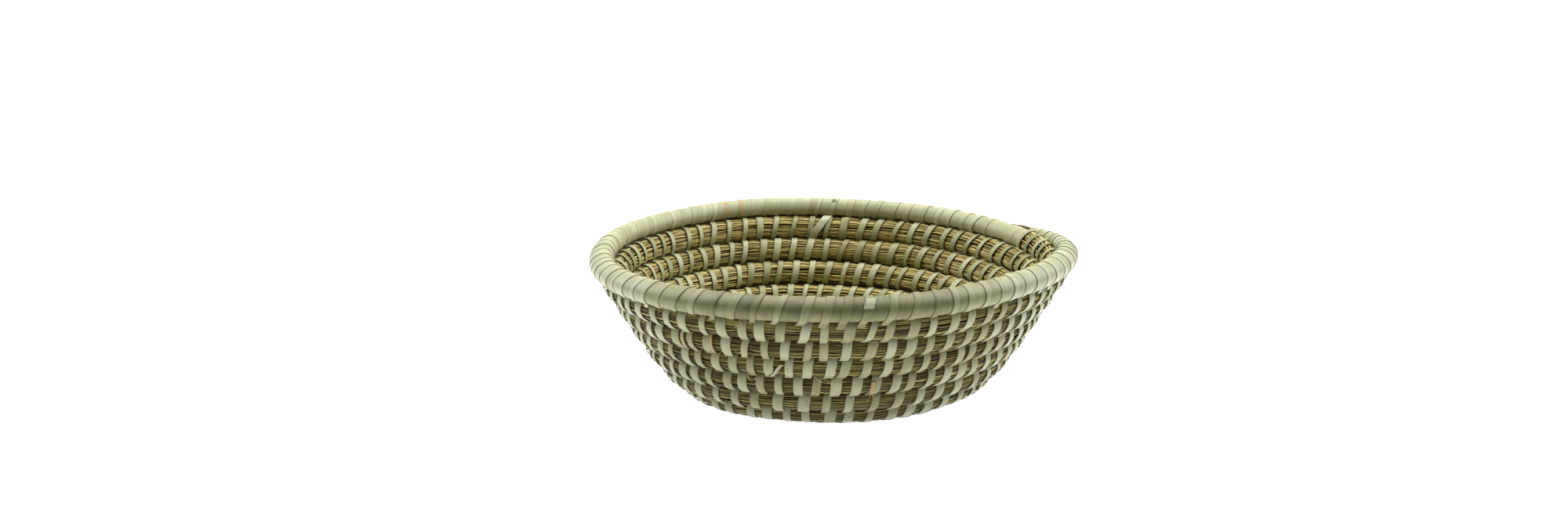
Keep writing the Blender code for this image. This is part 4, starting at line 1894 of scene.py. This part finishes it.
@dataclass
class Studio:
    """A white sweep, soft lamps at both sides and above, and the camera of the photograph.

    Each lamp has its name, its place, the point that it faces, its width and height, and its power in watts.
    The last one stands for the light that the table throws up in front.
    """

    axis_x: float = BasketSizes.axis_x
    axis_y: float = BasketSizes.axis_y
    target_height: float = 0.080
    target_pixel: tuple[float, float] = (1060.5, 317.0)
    elevation: float = math.radians(14.04)
    distance: float = 1.70
    metres_per_pixel: float = 0.270 / 617
    sensor: float = 36.0
    floor_size: float = 30.0
    floor_colour: Triple = (0.80, 0.80, 0.79)
    floor_roughness: float = 0.9
    floor_glow: float = 0.96
    world_strength: float = 0.045
    lamp_aim: Triple = (BasketSizes.axis_x, BasketSizes.axis_y, 0.05)
    lamps: tuple[tuple[str, Triple, Triple, tuple[float, float], float], ...] = (
        ("left_lamp", (-0.78, 0.20, 0.74), lamp_aim, (0.8, 0.9), 11.2),
        ("right_lamp", (0.78, 0.20, 0.74), lamp_aim, (0.8, 0.9), 12.6),
        ("top_lamp", (0.0, 0.30, 1.0), lamp_aim, (1.0, 0.7), 10.0),
        ("table_light", (0.0, -0.09, 0.004), (0.0, -0.09, 1.0), (0.5, 0.28), 0.235),
    )

    def build(self) -> None:
        """Sets up everything round the basket."""
        self.make_floor()
        self.make_world()
        for lamp in self.lamps:
            self.make_lamp(*lamp)
        self.make_camera()
        bpy.context.scene.view_settings.view_transform = "Standard"

    def make_floor(self) -> None:
        """A pale floor that keeps the basket's shadow and runs to white in the camera."""
        half = self.floor_size / 2
        corners = [(-half, -half, 0.0), (half, -half, 0.0), (half, half, 0.0), (-half, half, 0.0)]
        floor = new_object("studio_floor", corners, faces=[(0, 1, 2, 3)])
        surface = Surface("pale_floor")
        path = surface.add("ShaderNodeLightPath")
        seen = surface.math("MAXIMUM", path.outputs["Is Camera Ray"], path.outputs["Is Glossy Ray"])
        feeds = {
            "Base Color": (*self.floor_colour, 1.0),
            "Roughness": self.floor_roughness,
            "Specular IOR Level": 0.0,
            "Emission Color": (1.0, 1.0, 1.0, 1.0),
            "Emission Strength": seen * self.floor_glow,
        }
        surface.fill(surface.shader, feeds)
        floor.data.materials.append(surface.look)

    def make_world(self) -> None:
        """Even light from all round, which the camera sees as white."""
        world = bpy.data.worlds.new("studio_world")
        world.use_nodes = True
        tree = Tree(world.node_tree)
        background = world.node_tree.nodes["Background"]
        background.inputs["Color"].default_value = (1.0, 1.0, 1.0, 1.0)
        path = tree.add("ShaderNodeLightPath")
        seen = tree.math("MAXIMUM", path.outputs["Is Camera Ray"], path.outputs["Is Glossy Ray"])
        seen = tree.math("MAXIMUM", seen, path.outputs["Is Transmission Ray"])
        tree.feed(background.inputs["Strength"], tree.mix(seen, self.world_strength, 1.0))
        bpy.context.scene.world = world

    def make_lamp(
        self, name: str, place: Triple, aim: Triple, size: tuple[float, float], power: float
    ) -> None:
        """One soft lamp.

        Args:
            name: Its name.
            place: Where it stands.
            aim: The point that it faces.
            size: Its width and height.
            power: Its power in watts.
        """
        light = bpy.data.lights.new(name, "AREA")
        light.shape = "RECTANGLE"
        light.size, light.size_y = size
        light.energy = power
        lamp = bpy.data.objects.new(name, light)
        lamp.location = place
        way = Vector(aim) - Vector(place)
        lamp.rotation_euler = way.to_track_quat("-Z", "Y").to_euler()
        lamp.visible_camera = False
        bpy.context.scene.collection.objects.link(lamp)

    def make_camera(self) -> None:
        """The camera at the photograph's viewing angle."""
        data = bpy.data.cameras.new("photo_camera")
        data.sensor_width = self.sensor
        data.lens = self.distance / (PHOTO_WIDTH * self.metres_per_pixel) * self.sensor
        data.shift_x = (PHOTO_WIDTH / 2 - self.target_pixel[0]) / PHOTO_WIDTH
        data.shift_y = (self.target_pixel[1] - PHOTO_HEIGHT / 2) / PHOTO_WIDTH
        data.dof.use_dof = False
        camera = bpy.data.objects.new("photo_camera", data)
        back = self.distance * math.cos(self.elevation)
        up = self.distance * math.sin(self.elevation)
        camera.location = (self.axis_x, self.axis_y - back, self.target_height + up)
        camera.rotation_euler = (math.pi / 2 - self.elevation, 0.0, 0.0)
        bpy.context.scene.collection.objects.link(camera)
        bpy.context.scene.camera = camera


def main() -> None:
    """Builds the basket and the studio."""
    logging.basicConfig(level=logging.INFO, format="%(message)s")
    spiral = Spiral(BasketSizes())
    grass = GrassFinish().material()
    strip = StripFinish().material()
    core = CorePaintedShadeFinish().material()
    winder = StripWinder(spiral, strip)
    rows = SewingRows(spiral, winder)
    rows.build()
    RimBinding(spiral, winder).build()
    outer, inner = rows.crossings()
    GrassBundle(spiral, grass, core).build(outer, inner)
    StartKnot(strip).build()
    LooseEnds(spiral, grass).build()
    winder.clear_away()
    Studio().build()


if __name__ == "__main__":
    main()
